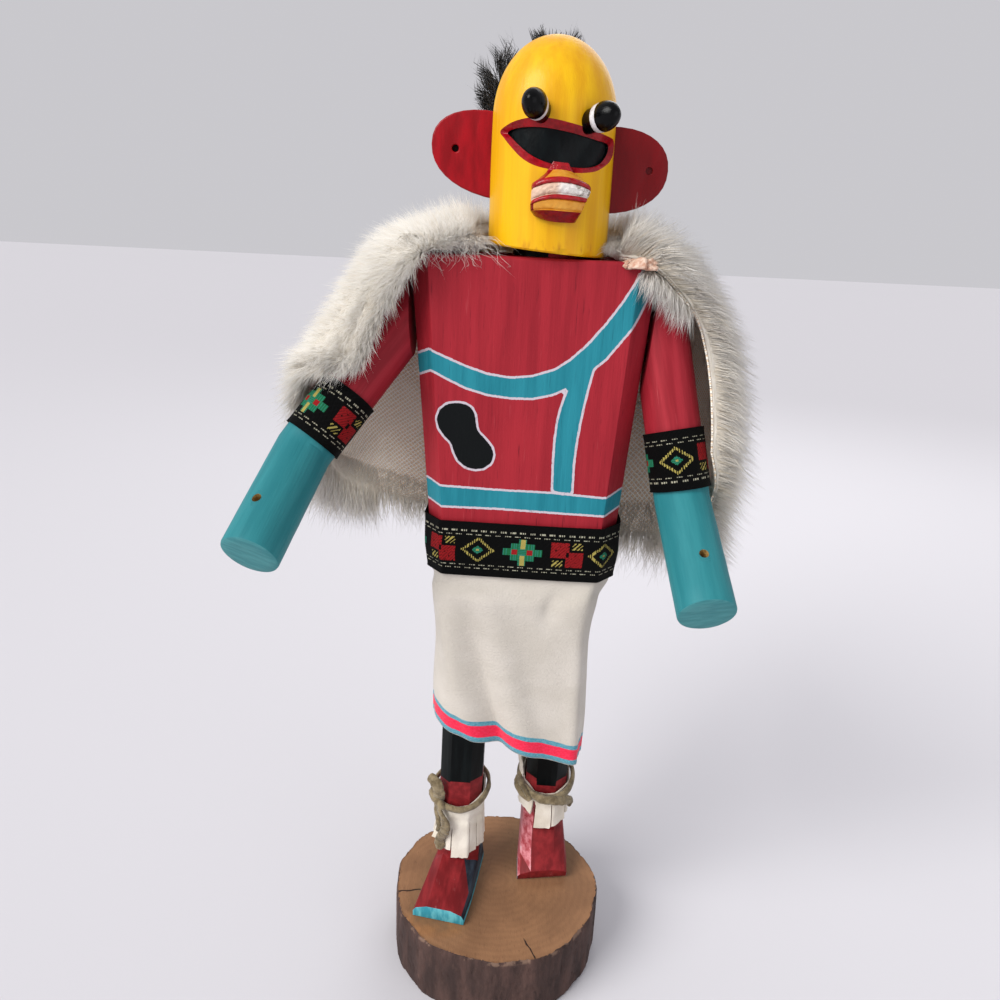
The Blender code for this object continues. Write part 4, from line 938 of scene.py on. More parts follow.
for side in ("right", "left"):
    ear = copy_of_node(f"{side}_ear", f"{side}_board_ear")
    settle(ear, ("BEVEL", {"width": 0.0007, "segments": 4, "limit_method": "ANGLE",
                           "angle_limit": math.radians(40)}))
    ear.data.materials.append(ear_made)
    # The drilled hole is stopped at half its depth. On the right ear the stop is coloured near black, painted
    # shade for the hole's dark inside; on the left ear it takes the ear's red.
    sign = 1.0 if side == "left" else -1.0
    hole_x = head_x + sign * (head_radius + 0.0135)
    lift = math.radians(9.0 if side == "right" else 2.0)
    hole_z = head_low + 0.0312 - sign * 0.0016 + 0.0171 * math.sin(lift) * 0.9
    bpy.ops.mesh.primitive_cylinder_add(vertices=24, radius=0.00135, depth=0.0014,
                                        rotation=(math.pi / 2, 0.0, 0.0),
                                        location=(hole_x, head_y + 0.0004, hole_z))
    stop = bpy.context.object
    put_in_place(stop)
    stop.data.materials.append(hole_shade_made if side == "right" else ear_made)
    ear.select_set(True)
    bpy.context.view_layer.objects.active = ear
    bpy.ops.object.join()
    smooth(ear, 40)
    fix_to_doll(ear, "gloss_red_paint", f"{side}_ear")

# Arms.
# Two lengths of dowel for each arm, mitred and glued at the elbow, and glued to the torso's sides.
# They are crimson above, turquoise below the ribbon, and drilled for small things that are missing.
arm_radius = 0.0110
torso_side = {"right": -0.0448, "left": 0.0494}
# Shoulder, elbow and hand, in millimetres.
arm_joints = {
    "right": ((-44.9, 8.5, 299.8), (-82.59, -20.35, 247.54), (-92.4, -60.01, 218.72)),
    "left": ((52.8, 8.5, 299.8), (66.57, -8.75, 232.11), (72.76, -51.05, 202.49)),
}
hand_holes = {"right": (0.0176, -0.16), "left": (0.0195, 0.0)}


def dowel_paint(name, roughness, brush_size, brush_low, dark, light, worn_low, worn_high, worn, share):
    """Paint brushed along a dowel, and worn at the open pores of the wood."""
    finish = Finish(name, roughness, shine=0.16)
    pores = finish.grain((1300.0, 1300.0, 70.0), 4.0, 0.6, "lay")
    brush = finish.grain(brush_size, 4.0, 0.55, "lay")
    finish.relief(pores, 0.00014)
    colour = finish.layer(dark, brush, brush_low, 0.68, light)
    return finish.done(finish.layer(colour, pores, worn_low, worn_high, worn, share))


arm_red = dowel_paint("crimson_arm_paint", 0.52, (230.0, 230.0, 18.0), 0.34,
                      tint(146, 30, 42), tint(172, 44, 56), 0.60, 0.78, tint(200, 92, 96), 0.4)
arm_blue = dowel_paint("turquoise_arm_paint", 0.5, (200.0, 200.0, 20.0), 0.32,
                       tint(40, 122, 130), tint(52, 136, 143), 0.64, 0.82, tint(84, 160, 166), 0.25)
hand_end = Finish("turquoise_hand_end", 0.5, shine=0.16)
end_saw = hand_end.grain((90.0, 900.0, 90.0), 3.0)
end_speck = hand_end.grain((900.0, 900.0, 900.0), 4.0)
end_colour = hand_end.layer(tint(62, 134, 140), end_saw, 0.35, 0.66, tint(78, 150, 154))
hand_end.relief(end_saw, 0.00012)
hand_end.relief(end_speck, 0.00010)
hand_end_made = hand_end.done(end_colour)
bare_wood = Finish("drilled_wood", 0.7)
bare_speck = bare_wood.grain((1500.0, 1500.0, 1500.0), 3.0)
bare_made = bare_wood.done(bare_wood.layer(tint(150, 112, 60), bare_speck, 0.35, 0.65, tint(190, 160, 96)))

arm_rows = 44
for side in ("right", "left"):
    shoulder, elbow, hand = [Vector(place) * 0.001 for place in arm_joints[side]]
    upper = (elbow - shoulder).normalized()
    fore = (hand - elbow).normalized()
    mitre = (upper + fore).normalized()
    beside = upper.cross(fore).normalized()
    front = beside.cross(upper)
    start = shoulder - upper * arm_radius * 0.9
    bpy.ops.mesh.primitive_cylinder_add(vertices=96, radius=1.0, depth=1.0, end_fill_type="NGON")
    arm = start_piece(f"{side}_dowel_arm")
    cut_rings(arm, arm_rows - 1)
    bpy.ops.mesh.select_all(action="DESELECT")
    shape = bmesh.from_edit_mesh(arm.data)
    for face in shape.faces:
        face.select = len(face.verts) > 4
    bmesh.update_edit_mesh(arm.data)
    bpy.ops.mesh.inset(thickness=0.35, use_individual=True)
    bpy.ops.object.mode_set(mode="OBJECT")
    lay = arm.data.attributes.new("lay", "FLOAT_VECTOR", "POINT")
    upper_rows = 26
    upper_length = (elbow - start).length
    fore_length = (hand - elbow).length
    for vertex, stored in zip(arm.data.vertices, lay.data):
        x, y, z = vertex.co
        row = round((0.5 - z) * arm_rows)
        turn = math.atan2(y, x)
        reach = math.hypot(x, y) * arm_radius
        if row >= arm_rows - 2 and reach > arm_radius * 0.9:
            reach -= (0.0, 0.00022, 0.0007)[row - arm_rows + 2]
        spoke = math.cos(turn) * beside + math.sin(turn) * front
        worn = 0.00007 * uneven(math.cos(turn) * 2.0, math.sin(turn) * 2.0, row * 0.4)
        spoke = spoke * (reach + worn)
        down = min(row / upper_rows, 1.0)
        beyond = max(row - upper_rows, 0) / (arm_rows - upper_rows)
        if arm_rows - 2 <= row < arm_rows:
            beyond = 1.0 - (0.0009, 0.00025)[row - arm_rows + 2] / fore_length
        at_mitre = elbow + spoke - upper * (spoke.dot(mitre) / upper.dot(mitre))
        if row <= upper_rows:
            first = start + spoke
            vertex.co = first + (at_mitre - first) * down
        else:
            last = at_mitre + fore * (hand - at_mitre).dot(fore)
            vertex.co = at_mitre + (last - at_mitre) * beyond
        along = upper_length * down + fore_length * beyond
        stored.vector = (reach * math.cos(turn), reach * math.sin(turn), along)
    sign = 1.0 if side == "left" else -1.0
    shape = open_shape(arm)
    cut_edges = [*shape.verts, *shape.edges, *shape.faces]
    cut_result = bmesh.ops.bisect_plane(shape, geom=cut_edges, dist=1e-6, clear_inner=True,
                                        plane_co=(torso_side[side] + sign * 0.0002, 0.0, 0.2998),
                                        plane_no=(sign, 0.0, -0.085))
    rim = [item for item in cut_result["geom_cut"] if isinstance(item, bmesh.types.BMEdge)]
    bmesh.ops.holes_fill(shape, edges=rim, sides=400)
    bmesh.ops.recalc_face_normals(shape, faces=shape.faces)
    close_shape(shape, arm)
    for made in (arm_red, arm_blue, hand_end_made, bare_made):
        arm.data.materials.append(made)
    for face in arm.data.polygons:
        past = (face.center - elbow).dot(fore)
        if face.normal.dot(fore) > 0.85 and past > fore_length - 0.0006:
            face.material_index = 2
        else:
            face.material_index = 1 if past > -0.010 else 0
    along, lean = hand_holes[side]
    out = Vector((lean, -0.25, 1.0))
    out = (out - fore * out.dot(fore)).normalized()
    middle = hand - fore * along + out * (arm_radius - 0.0035)
    bpy.ops.mesh.primitive_cylinder_add(vertices=36, radius=0.0018, depth=0.011, location=middle,
                                        rotation=out.to_track_quat("Z", "Y").to_euler())
    drill = bpy.context.object
    drill.name = f"{side}_hand_drill"
    put_in_place(drill)
    drill.data.materials.append(bare_made)
    settle(arm, ("BOOLEAN", {"operation": "DIFFERENCE", "object": drill, "solver": "EXACT"}))
    bpy.data.objects.remove(drill, do_unlink=True)
    smooth(arm, 30)
    fix_to_doll(arm, "red_paint", f"{side}_arm")

# Armbands.
# A length of black jacquard ribbon glued round each arm over the join of the two colours. Its
# motifs are woven in: a stepped red block, a yellow diamond with a green eye, and a green cross.
ribbon_width = 23.3
ribbon_repeat = 53.0
yarn = {
    "ground": tint(5, 6, 6), "rib": tint(14, 14, 14), "red": tint(196, 38, 42), "fade": tint(112, 28, 32),
    "yellow": tint(224, 206, 112), "cream": tint(226, 222, 196), "green": tint(44, 140, 88),
    "turquoise": tint(62, 164, 140),
}


def ribbon_yarn(s, t):
    """Which yarn shows on the ribbon at s along it and t down from its upper edge, in millimetres."""
    pick = int(t / 0.34)
    end = int(s / 0.34)
    for row, offset in ((3.6, 0.0), (5.2, 2.05), (18.3, 0.0), (19.9, 2.05)):
        if abs(t - row) < 0.24:
            place = (s + offset) % 4.1
            if place < 2.4 and place % 0.9 < 0.56:
                return "cream"
    if not 6.2 < t < 17.4:
        return "rib" if (pick + end) % 5 == 0 else "ground"
    place = s % ribbon_repeat
    middle = t - 11.65
    near_red = (place + 8.0) % ribbon_repeat - 8.0
    if abs(near_red) < 6.6:
        across, down = near_red + 6.2, t
        in_high = across < 6.8 - 1.2 * (down > 10.6) and 6.4 < down < 13.0
        in_low = across > 5.6 + 1.2 * (down < 12.6) and 10.6 < down < 17.2
        lines = (abs((across + down) % 3.4 - 1.2) < 0.24 and (int(across / 1.7) + int(down / 1.7)) % 2)
        if in_high or in_low:
            return "ground" if lines else ("red" if (pick + end) % 4 else "fade")
        high_tick = 8.0 < across < 12.4 and 6.6 < down < 9.6 and abs(across + down - 18.0) % 1.6 < 0.5
        low_tick = 0.2 < across < 4.6 and 14.2 < down < 17.2 and abs(across + down - 17.0) % 1.6 < 0.5
        return "yellow" if high_tick or low_tick else "ground"
    across = place - 15.8
    if abs(across) < 7.6:
        ring = abs(across) / 7.0 + abs(middle) / 5.4
        if 0.78 < ring < 1.02:
            return "yellow" if across % 0.9 < 0.54 else "ground"
        if abs(across) < 0.5 and abs(middle) < 0.5:
            return "yellow"
        if abs(across) / 2.5 + abs(middle) / 1.8 < 1.0:
            return "green" if pick % 2 else "turquoise"
        return "ground"
    across = place - 34.4
    if abs(across) < 9.0:
        for spot in (-3.2, 3.2):
            if abs(across - spot) < 1.2 and abs(middle) < 1.15:
                return "red"
        if abs(across) < 0.9 and 1.5 < abs(middle) < 5.7:
            return "yellow"
        if abs(across) < 1.6 and abs(middle) < 5.7:
            return "green" if pick % 2 else "turquoise"
        if (abs(across) < 8.2 and abs(middle) < 1.3) or (abs(across) < 5.0 and abs(middle) < 3.5):
            return "green" if end % 3 else "turquoise"
    return "rib" if (pick + end) % 7 == 0 else "ground"


def crossed_threads(finish, lay, pitch):
    """The height of warp over weft, with threads this far apart in millimetres."""
    warp, weft = [finish.sum("SINE", finish.sum("MULTIPLY", lay[axis], math.tau / pitch))
                  for axis in ("X", "Y")]
    return finish.sum("MULTIPLY", warp, weft)


ribbon = Finish("jacquard_ribbon", 0.7, shine=0.08)
ribbon_lay = ribbon.axes("lay")
ribbon_fuzz = ribbon.grain((3.0, 3.0, 3.0), 4.0, 0.7, "lay")
weave = crossed_threads(ribbon, ribbon_lay, 0.68)
between_threads = ribbon.spread(weave, -0.6, 0.4, 0.45, 0.0)
ribbon_colour = ribbon.blend(between_threads, ribbon.stored("yarn", "Color"), tint(10, 10, 11))
ribbon_colour = ribbon.layer(ribbon_colour, ribbon_fuzz, 0.62, 0.84, tint(52, 50, 48), 0.16)
ribbon.relief(weave, 0.00022)
ribbon.relief(ribbon_fuzz, 0.00015)
ribbon_made = ribbon.done(ribbon_colour)


def lay_cloth(name, columns, rows, place, closed):
    """A grid of cloth laid by place(u, v), with u along it and v down it; a closed one is joined up."""
    bpy.ops.mesh.primitive_grid_add(x_subdivisions=columns, y_subdivisions=rows, size=1.0, calc_uvs=True)
    cloth = start_piece(name)
    bpy.ops.object.mode_set(mode="OBJECT")
    lay = cloth.data.attributes.new("lay", "FLOAT_VECTOR", "POINT")
    for vertex, stored in zip(cloth.data.vertices, lay.data):
        u, v = vertex.co.x + 0.5, 0.5 - vertex.co.y
        vertex.co, stored.vector = place(u, v)
    if closed:
        settle(cloth, ("WELD", {"merge_threshold": 0.00001}))
    return cloth


ribbon_rows = 64
ribbon_back_rows = 3
ribbon_thickness = 0.0005


def ribbon_side(v):
    """Where a row of the closed band lies: how far down the ribbon it is, and how deep in it."""
    row = round(v * (ribbon_rows + ribbon_back_rows))
    if row <= ribbon_rows:
        return row / ribbon_rows, 0.0
    return (1.0, 1.0) if row == ribbon_rows + 1 else (0.0, float(row == ribbon_rows + 2))


def colour_ribbon(cloth, width, length, start):
    """Gives every face of a ribbon the colour of its yarn; a length below zero turns it end for end."""
    layer = cloth.data.color_attributes.new("yarn", "BYTE_COLOR", "CORNER")
    lay = cloth.data.uv_layers[0].data
    total = ribbon_rows + ribbon_back_rows
    for face in cloth.data.polygons:
        across = sum(lay[corner].uv.x for corner in face.loop_indices) / len(face.loop_indices)
        down = 1.0 - sum(lay[corner].uv.y for corner in face.loop_indices) / len(face.loop_indices)
        down = min(1.0, down * total / ribbon_rows)
        shown = yarn[ribbon_yarn(across * length + start, (down if length > 0 else 1.0 - down) * width)]
        for corner in face.loop_indices:
            layer.data[corner].color = shown


# What part of the repeat faces forward on each arm. The left ribbon is turned end for end.
band_middles = {"right": 44.5, "left": 14.5}
for side in ("right", "left"):
    shoulder, elbow = [Vector(place) * 0.001 for place in arm_joints[side][:2]]
    upper = (elbow - shoulder).normalized()
    seam = Vector((0.0, 1.0, 0.0))
    seam = (seam - upper * seam.dot(upper)).normalized()
    forward = upper.cross(seam)
    low = elbow - upper * 0.0050
    band_length = math.tau * (arm_radius + 0.0007) * 1000

    def band_place(u, row_share):
        v, depth = ribbon_side(row_share)
        turn = math.tau * u
        radius = arm_radius + 0.0009 - ribbon_thickness * depth
        edge = min(v, 1.0 - v) * ribbon_width
        radius += 0.00025 * math.exp(-edge / 0.5)
        where = Vector((math.cos(turn) * 3.0, math.sin(turn) * 3.0, v * 2.0 + len(side)))
        radius += 0.00010 * noise.noise(where)
        drift = 0.0004 * math.sin(turn + 1.0) * (v - 0.5)
        spoke = math.cos(turn) * seam - math.sin(turn) * forward
        rise = 0.001 * ribbon_width * (1.0 - v) + drift
        return low - upper * rise + spoke * radius, (u * band_length, v * ribbon_width, 0.0)

    band = lay_cloth(f"{side}_woven_armband", 216, ribbon_rows + ribbon_back_rows, band_place, True)
    turned = -1.0 if side == "left" else 1.0
    colour_ribbon(band, ribbon_width, turned * band_length, band_middles[side] - turned * band_length / 2)
    band.data.materials.append(ribbon_made)
    smooth(band, 60)
    fix_to_doll(band, "woven_ribbon", f"{side}_armband")

# Belt.
# The same ribbon glued round the waist over the kilt's top, with a lapped end at the back.
body_x = 0.0032
body_y = 0.0077
# Heights above the base.
hips_top = 0.1635
waist_height = 0.1760
shoulder_height = 0.2895
# The body block's height above the base, width, width of its front, and depth, from the hips up.
block_levels = [
    (0.1500, 0.0580, 0.0480, 0.0300), (hips_top, 0.0736, 0.0612, 0.0326),
    (waist_height, 0.0768, 0.0636, 0.0334), (shoulder_height, 0.0942, 0.0790, 0.0366),
]
corner_cut = 0.0098


def block_ring(width, front_width, depth, middle_x, grow):
    """The eight corners of a section, from the front left corner round."""
    wide, front, deep = width / 2 + grow, front_width / 2 + grow * 0.6, depth / 2 + grow
    side = deep - corner_cut + grow * 0.4
    flat = [(front, -deep), (wide, -side), (wide, side), (front, deep),
            (-front, deep), (-wide, side), (-wide, -side), (-front, -deep)]
    return [Vector((middle_x + x, body_y + y)) for x, y in flat]


def block_at(height, grow):
    """The section of the body block at a height above the base."""
    k = sum(height >= level[0] for level in block_levels[1:-1])
    low, high = block_levels[k], block_levels[k + 1]
    t = (height - low[0]) / (high[0] - low[0])
    sizes = [a + (b - a) * t for a, b in zip(low[1:], high[1:])]
    lean = body_x - 0.0009 * (height - waist_height) / (shoulder_height - waist_height)
    return block_ring(*sizes, lean, grow)


def round_ring(corners, share, soften):
    """A place round a section, at a share of its length, with its corners softened."""
    sides = [(b - a).length for a, b in zip(corners, corners[1:] + corners[:1])]
    total = sum(sides)
    found = Vector((0.0, 0.0))
    tries = 7
    for n in range(tries):
        place = (share * total + soften * (n - tries // 2) / (tries // 2)) % total
        for k, length in enumerate(sides):
            if place <= length:
                found += corners[k].lerp(corners[(k + 1) % 8], place / length)
                break
            place -= length
    return found / tries


belt_middle = waist_height
belt_ring = block_at(belt_middle, 0.0027)
belt_length = 1000 * sum((b - a).length for a, b in zip(belt_ring, belt_ring[1:] + belt_ring[:1]))
# The ring starts at the front left corner. The ribbon's cross is a little left of the middle.
cross_place = 34.4
belt_middle_share = 0.5 - (belt_ring[0].x - body_x) * 1000 / belt_length
belt_start = cross_place - 0.5 - belt_middle_share * belt_length


def belt_place(u, row_share):
    v, depth = ribbon_side(row_share)
    height = belt_middle + 0.001 * ribbon_width * (0.5 - v)
    share = 0.5 + u
    grow = 0.0024 - 0.0010 * max(0.0, 1.0 - v * 1.7) - ribbon_thickness * depth
    flat = round_ring(block_at(height, grow), share % 1.0, 0.0011)
    ripple = 0.00016 * uneven(flat.x * 120, flat.y * 120, v * 1.5)
    edge = min(v, 1.0 - v) * ribbon_width
    out = Vector((flat.x - body_x, flat.y - body_y)).normalized() * (ripple + 0.00022 * math.exp(-edge / 0.5))
    rise = 0.0003 * uneven(flat.x * 30, flat.y * 30, 4.0)
    place = Vector((flat.x + out.x, flat.y + out.y, base_top + height + rise))
    return place, (u * belt_length, v * ribbon_width, 0.0)


belt = lay_cloth("woven_belt", 560, ribbon_rows + ribbon_back_rows, belt_place, True)
colour_ribbon(belt, ribbon_width, belt_length, belt_start)
belt.data.materials.append(ribbon_made)
smooth(belt, 60)
fix_to_doll(belt, "woven_ribbon", "belt")

# Kilt.
# A strip of off-white cotton wrapped round the hips and tucked under the belt. A red stripe between
# two turquoise ones is painted along its slanting hem, and soft folds run down from the waist.
kilt_tuck = 0.0060


def bump(value, middle, width):
    """1 at the middle, and falling off to nothing about two widths away."""
    return math.exp(-((value - middle) / width) ** 2)


def kilt_place(u, v):
    share = (0.5 + u) % 1.0
    waist_now = round_ring(block_at(0.1763, 0.0009), share, 0.0016)
    side = waist_now.x - body_x
    hem_drop = 0.0832 + 0.0170 * (side / 0.0768 - 0.25)
    fall = kilt_tuck + hem_drop
    height = hips_top + kilt_tuck + 0.0008 - fall * v
    upper = round_ring(block_at(max(height, hips_top - 0.0001), 0.0009), share, 0.0016)
    hem_ring = block_ring(0.0650, 0.0650 * 0.80, 0.0420, body_x - 0.0006, 0.0009)
    hem = round_ring(hem_ring, share, 0.0040)
    hem.y += 0.0015
    hem.x -= 0.0022 * max(0.0, hem.x - body_x) / 0.032
    ease = min(1.0, max(0.0, v - 0.085) / 0.115)
    ease = ease * ease * (3 - 2 * ease)
    x = upper.x + (hem.x - upper.x) * ease
    y = upper.y + (hem.y - upper.y) * ease
    turn = math.atan2(y - body_y, x - body_x)
    # From the viewer's side: a soft crease that slants from the left of the belt to the middle of the
    # hem, and a firm one that drops from the right of the belt, with a hollow before it.
    slant = x - (-0.0250 + 0.0230 * v)
    if y < 0:
        fold = -0.0036 * bump(slant, 0.0, 0.0046) * min(1.0, 1.6 * v)
        fold += 0.0036 * bump(slant, -0.0090, 0.0050) * (1.0 - 0.4 * v)
        fold += 0.0028 * bump(slant, 0.0120, 0.0066)
        fold += 0.0048 * bump(x, 0.0310, 0.0046) * bump(v, 0.15, 0.12)
        fold -= 0.0034 * bump(x + 0.021 * v, 0.0215, 0.0042) * bump(v, 0.17, 0.10)
        fold += 0.0034 * bump(x, 0.0285, 0.0026) * min(1.0, 2.0 * v)
    else:
        fold = 0.0007 * math.sin(9 * turn - 3 * v)
    fold += 0.0007 * uneven(x * 60, y * 60, v * 3.2)
    grow = (fold * (0.55 + 0.45 * v) + 0.0010) * ease
    out = Vector((x - body_x, y - body_y)).normalized() * grow
    return (Vector((x + out.x, y + out.y, base_top + height)),
            (u * belt_length, v * 1000 * fall, 1000 * fall * (1.0 - v)))


kilt = lay_cloth("cotton_kilt", 156, 54, kilt_place, True)
kilt_cloth = Finish("painted_cotton", 0.88, sheen=0.2)
cloth_lay = kilt_cloth.axes("lay")
cloth_slub = kilt_cloth.grain((1.2, 2.4, 1.0), 4.0, 0.6, "lay")
cloth_cloud = kilt_cloth.grain((0.05, 0.05, 0.05), 3.0, 0.5, "lay")
cloth_nap = kilt_cloth.grain((0.9, 0.9, 0.9), 3.0, 0.6, "lay")
kilt_weave = crossed_threads(kilt_cloth, cloth_lay, 0.62)
cotton = kilt_cloth.layer(pale(196, 189, 179), cloth_cloud, 0.35, 0.7, pale(206, 199, 190))
cotton = kilt_cloth.blend(kilt_cloth.spread(kilt_weave, -0.5, 0.5, 0.30, 0.0), cotton, pale(176, 168, 155))
stripe_shake = kilt_cloth.sum("SUBTRACT", kilt_cloth.grain((0.22, 0.22, 0.22), 3.0, 0.6, "lay"), 0.5)
from_hem = kilt_cloth.sum("ADD", cloth_lay["Z"], kilt_cloth.sum("MULTIPLY", stripe_shake, 0.9))
stripe_red = kilt_cloth.layer(tint(240, 14, 60), cloth_slub, 0.35, 0.7, tint(255, 48, 92))
stripe_blue = kilt_cloth.layer(tint(66, 142, 164), cloth_slub, 0.35, 0.7, tint(116, 176, 190))
in_blue, in_red = [
    kilt_cloth.sum("MULTIPLY", kilt_cloth.spread(from_hem, *lower), kilt_cloth.spread(from_hem, *upper))
    for lower, upper in (((0.1, 0.35), (9.9, 9.6)), ((2.3, 2.6), (7.8, 7.5)))]
cotton = kilt_cloth.blend(in_blue, cotton, stripe_blue)
cotton = kilt_cloth.blend(in_red, cotton, stripe_red)
kilt_cloth.relief(kilt_weave, 0.00004)
kilt_cloth.relief(cloth_nap, 0.00030)
kilt.data.materials.append(kilt_cloth.done(cotton))
settle(kilt, ("SOLIDIFY", {"thickness": 0.0006, "offset": 0.0}))
kilt.data.shade_smooth()
fix_to_doll(kilt, "kilt_cloth", "kilt")

# Cape.
# A piece of knitted cloth with a long white pile, cut from a larger skin and glued over the
# shoulders. The knit shows inside; the pile stands out round the edges and hangs over the arms.
# Lines down the backing from neck to hem, in millimetres, from the doll's right arm round to its left.
cape_lines = [
    [(-20.7, -4.3, 324.3), (-38.2, -11.3, 322.3), (-50.9, -9.5, 305.8), (-62.7, -19.9, 277.7),
     (-70.7, -22.9, 270.7)],
    [(-22.7, 5.7, 326.3), (-44.8, 1.7, 323.3), (-57.9, 2.5, 311.8), (-75.7, -11.9, 283.7),
     (-85.7, -14.9, 274.7)],
    [(-21.7, 17.7, 327.3), (-48.8, 11.7, 322.3), (-64.9, 16.5, 305.8), (-83.7, 10.1, 265.7),
     (-83.7, 21.7, 233.3)],
    [(-13.7, 30.0, 328.3), (-37.3, 29.0, 322.3), (-64.8, 31.0, 290.3), (-69.8, 32.0, 252.3),
     (-66.8, 30.0, 217.3)],
    [(6.3, 36.0, 329.3), (4.3, 34.0, 310.3), (2.3, 32.0, 280.3), (2.3, 33.0, 240.3),
     (2.3, 35.0, 203.3)],
    [(27.3, 30.0, 328.3), (45.6, 29.0, 321.3), (66.4, 31.0, 290.3), (73.4, 32.0, 252.3),
     (73.4, 30.0, 203.3)],
    [(34.3, 15.7, 326.3), (55.4, 15.7, 321.3), (74.8, 14.5, 293.8), (82.3, 9.8, 253.8),
     (80.3, 17.7, 205.3)],
    [(32.3, -2.3, 323.3), (48.0, -8.3, 319.3), (66.8, -3.5, 297.8), (74.6, -9.5, 255.8),
     (74.3, 0.7, 209.3)],
]
cape_lines = [[Vector(point) * 0.001 for point in line] for line in cape_lines]
sleeve_room = arm_radius + 0.0022


def curve_through(points, t):
    """A smooth curve through points at equal steps of t from 0 to 1."""
    last = len(points) - 1
    place = min(max(t, 0.0), 1.0) * last
    k = min(int(place), last - 1)
    f = place - k
    a, b, c, d = points[max(k - 1, 0)], points[k], points[k + 1], points[min(k + 2, last)]
    bend = (2 * a - 5 * b + 4 * c - d) * f * f + (3 * b - a - 3 * c + d) * f ** 3
    return 0.5 * (2 * b + (c - a) * f + bend)


def backing(u, v):
    """A place on the knit, pushed out to where it lies over an arm."""
    point = curve_through([curve_through(line, v) for line in cape_lines], u)
    for side in ("right", "left"):
        joints = [Vector(place) * 0.001 for place in arm_joints[side]]
        for start, end in zip(joints, joints[1:]):
            span = end - start
            t = min(1.0, max(0.0, (point - start).dot(span) / span.length_squared))
            away = point - start - span * t
            if away.length < sleeve_room:
                point = start + span * t + away.normalized() * sleeve_room
    return point


# The backing is worked out once on an even grid, and the rest is read from there. Over the doll's
# right arm it stops short of the ribbon.
net_columns, net_rows = 140, 60


def hem_share(u):
    t = min(1.0, u / 0.27)
    return 0.70 + 0.30 * t * t * (3 - 2 * t)


net = [[backing(i / net_columns, hem_share(i / net_columns) * j / net_rows) for j in range(net_rows + 1)]
       for i in range(net_columns + 1)]
net_outward = []
for i in range(net_columns + 1):
    line = []
    for j in range(net_rows + 1):
        du = net[min(i + 2, net_columns)][j] - net[max(i - 2, 0)][j]
        dv = net[i][min(j + 2, net_rows)] - net[i][max(j - 2, 0)]
        line.append(du.cross(dv).normalized())
    net_outward.append(line)


def on_net(u, v):
    """A place on the backing and the way out of it."""
    x = min(max(u, 0.0), 1.0) * net_columns
    y = min(max(v, 0.0), 1.0) * net_rows
    i, j = min(int(x), net_columns - 1), min(int(y), net_rows - 1)
    f, g = x - i, y - j
    found = []
    for table in (net, net_outward):
        upper = table[i][j].lerp(table[i + 1][j], f)
        lower = table[i][j + 1].lerp(table[i + 1][j + 1], f)
        found.append(upper.lerp(lower, g))
    return found[0], found[1].normalized()


knit_width = 300.0
knit_drop = 118.0


def knit_place(u, v):
    point, out = on_net(u, v)
    ripple = 0.0005 * uneven(u * 20, v * 12, 1.0)
    return point + out * (0.0009 + ripple), (u * knit_width, v * knit_drop, 0.0)


knit = lay_cloth("knitted_backing", 112, 48, knit_place, False)
knit_finish = Finish("knitted_backing", 0.9, sheen=0.3)
stitch_lay = knit_finish.axes("lay")
# The loops lie as a net of leaning threads, this far apart across and down, in millimetres.
wale = 1.3
stitch_rise = 1.45
shaken = knit_finish.grain((0.35, 0.35, 0.35), 2.0, 0.5, "lay")
stitch_across = knit_finish.sum("ADD", stitch_lay["X"], shaken)
stitch_turn = knit_finish.sum("MULTIPLY", stitch_across, math.pi / wale)
stitch_fall = knit_finish.sum("MULTIPLY", stitch_lay["Y"], math.pi / stitch_rise)
leaning = [knit_finish.sum("SINE", knit_finish.sum(way, stitch_turn, stitch_fall))
           for way in ("ADD", "SUBTRACT")]
stitch_high = knit_finish.sum("MINIMUM", *[knit_finish.sum("ABSOLUTE", lean) for lean in leaning])
stitch_high = knit_finish.spread(stitch_high, 0.72, 0.22)
knit_fuzz = knit_finish.grain((2.0, 2.0, 2.0), 4.0, 0.7, "lay")
knit_cloud = knit_finish.grain((0.08, 0.08, 0.08), 3.0, 0.5, "lay")
knit_colour = knit_finish.layer(pale(232, 206, 172), knit_cloud, 0.35, 0.7, pale(244, 224, 196))
knit_colour = knit_finish.blend(stitch_high, knit_colour, pale(255, 250, 240))
knit_colour = knit_finish.layer(knit_colour, knit_fuzz, 0.62, 0.82, pale(255, 250, 240), 0.4)
knit_finish.relief(stitch_high, 0.0005)
knit_finish.relief(knit_fuzz, 0.0003)
knit.data.materials.append(knit_finish.done(knit_colour))
settle(knit, ("SOLIDIFY", {"thickness": 0.0007, "offset": 0.0}))
knit.data.shade_smooth()
fix_to_doll(knit, "white_pile", "cape")


def pile_place(u, v):
    point, out = on_net(u, v)
    lump = 0.5 + 0.5 * uneven(u * 34, v * 13, 5.0)
    lump += 0.35 * uneven(u * 90, v * 34, 2.0)
    edge = min(1.0, 22 * u, 22 * (1 - u), 14 * v + 0.15, 16 * (1 - v))
    thick = 0.0014 + 0.0058 * max(edge, 0.0) * (0.40 + 0.60 * lump)
    return point + out * thick, (u * knit_width, v * knit_drop, 0.0)


pile_mat = lay_cloth("pile_mat", 112, 44, pile_place, False)
pile = Finish("white_pile", 0.85, sheen=0.3)
pile_streak = pile.grain((0.9, 0.16, 1.0), 5.0, 0.65, "lay")
pile_cloud = pile.grain((0.06, 0.06, 0.06), 3.0, 0.5, "lay")
pile_colour = pile.layer(tint(204, 194, 176), pile_streak, 0.30, 0.65, tint(236, 230, 220))
pile_colour = pile.layer(pile_colour, pile_cloud, 0.52, 0.72, tint(218, 204, 178), 0.35)
pile.relief(pile_streak, 0.0008)
pile_mat.data.materials.append(pile.done(pile_colour))
settle(pile_mat, ("SOLIDIFY", {"thickness": 0.0006, "offset": -1.0}))
pile_mat.data.shade_smooth()
fix_to_doll(pile_mat, "white_pile")

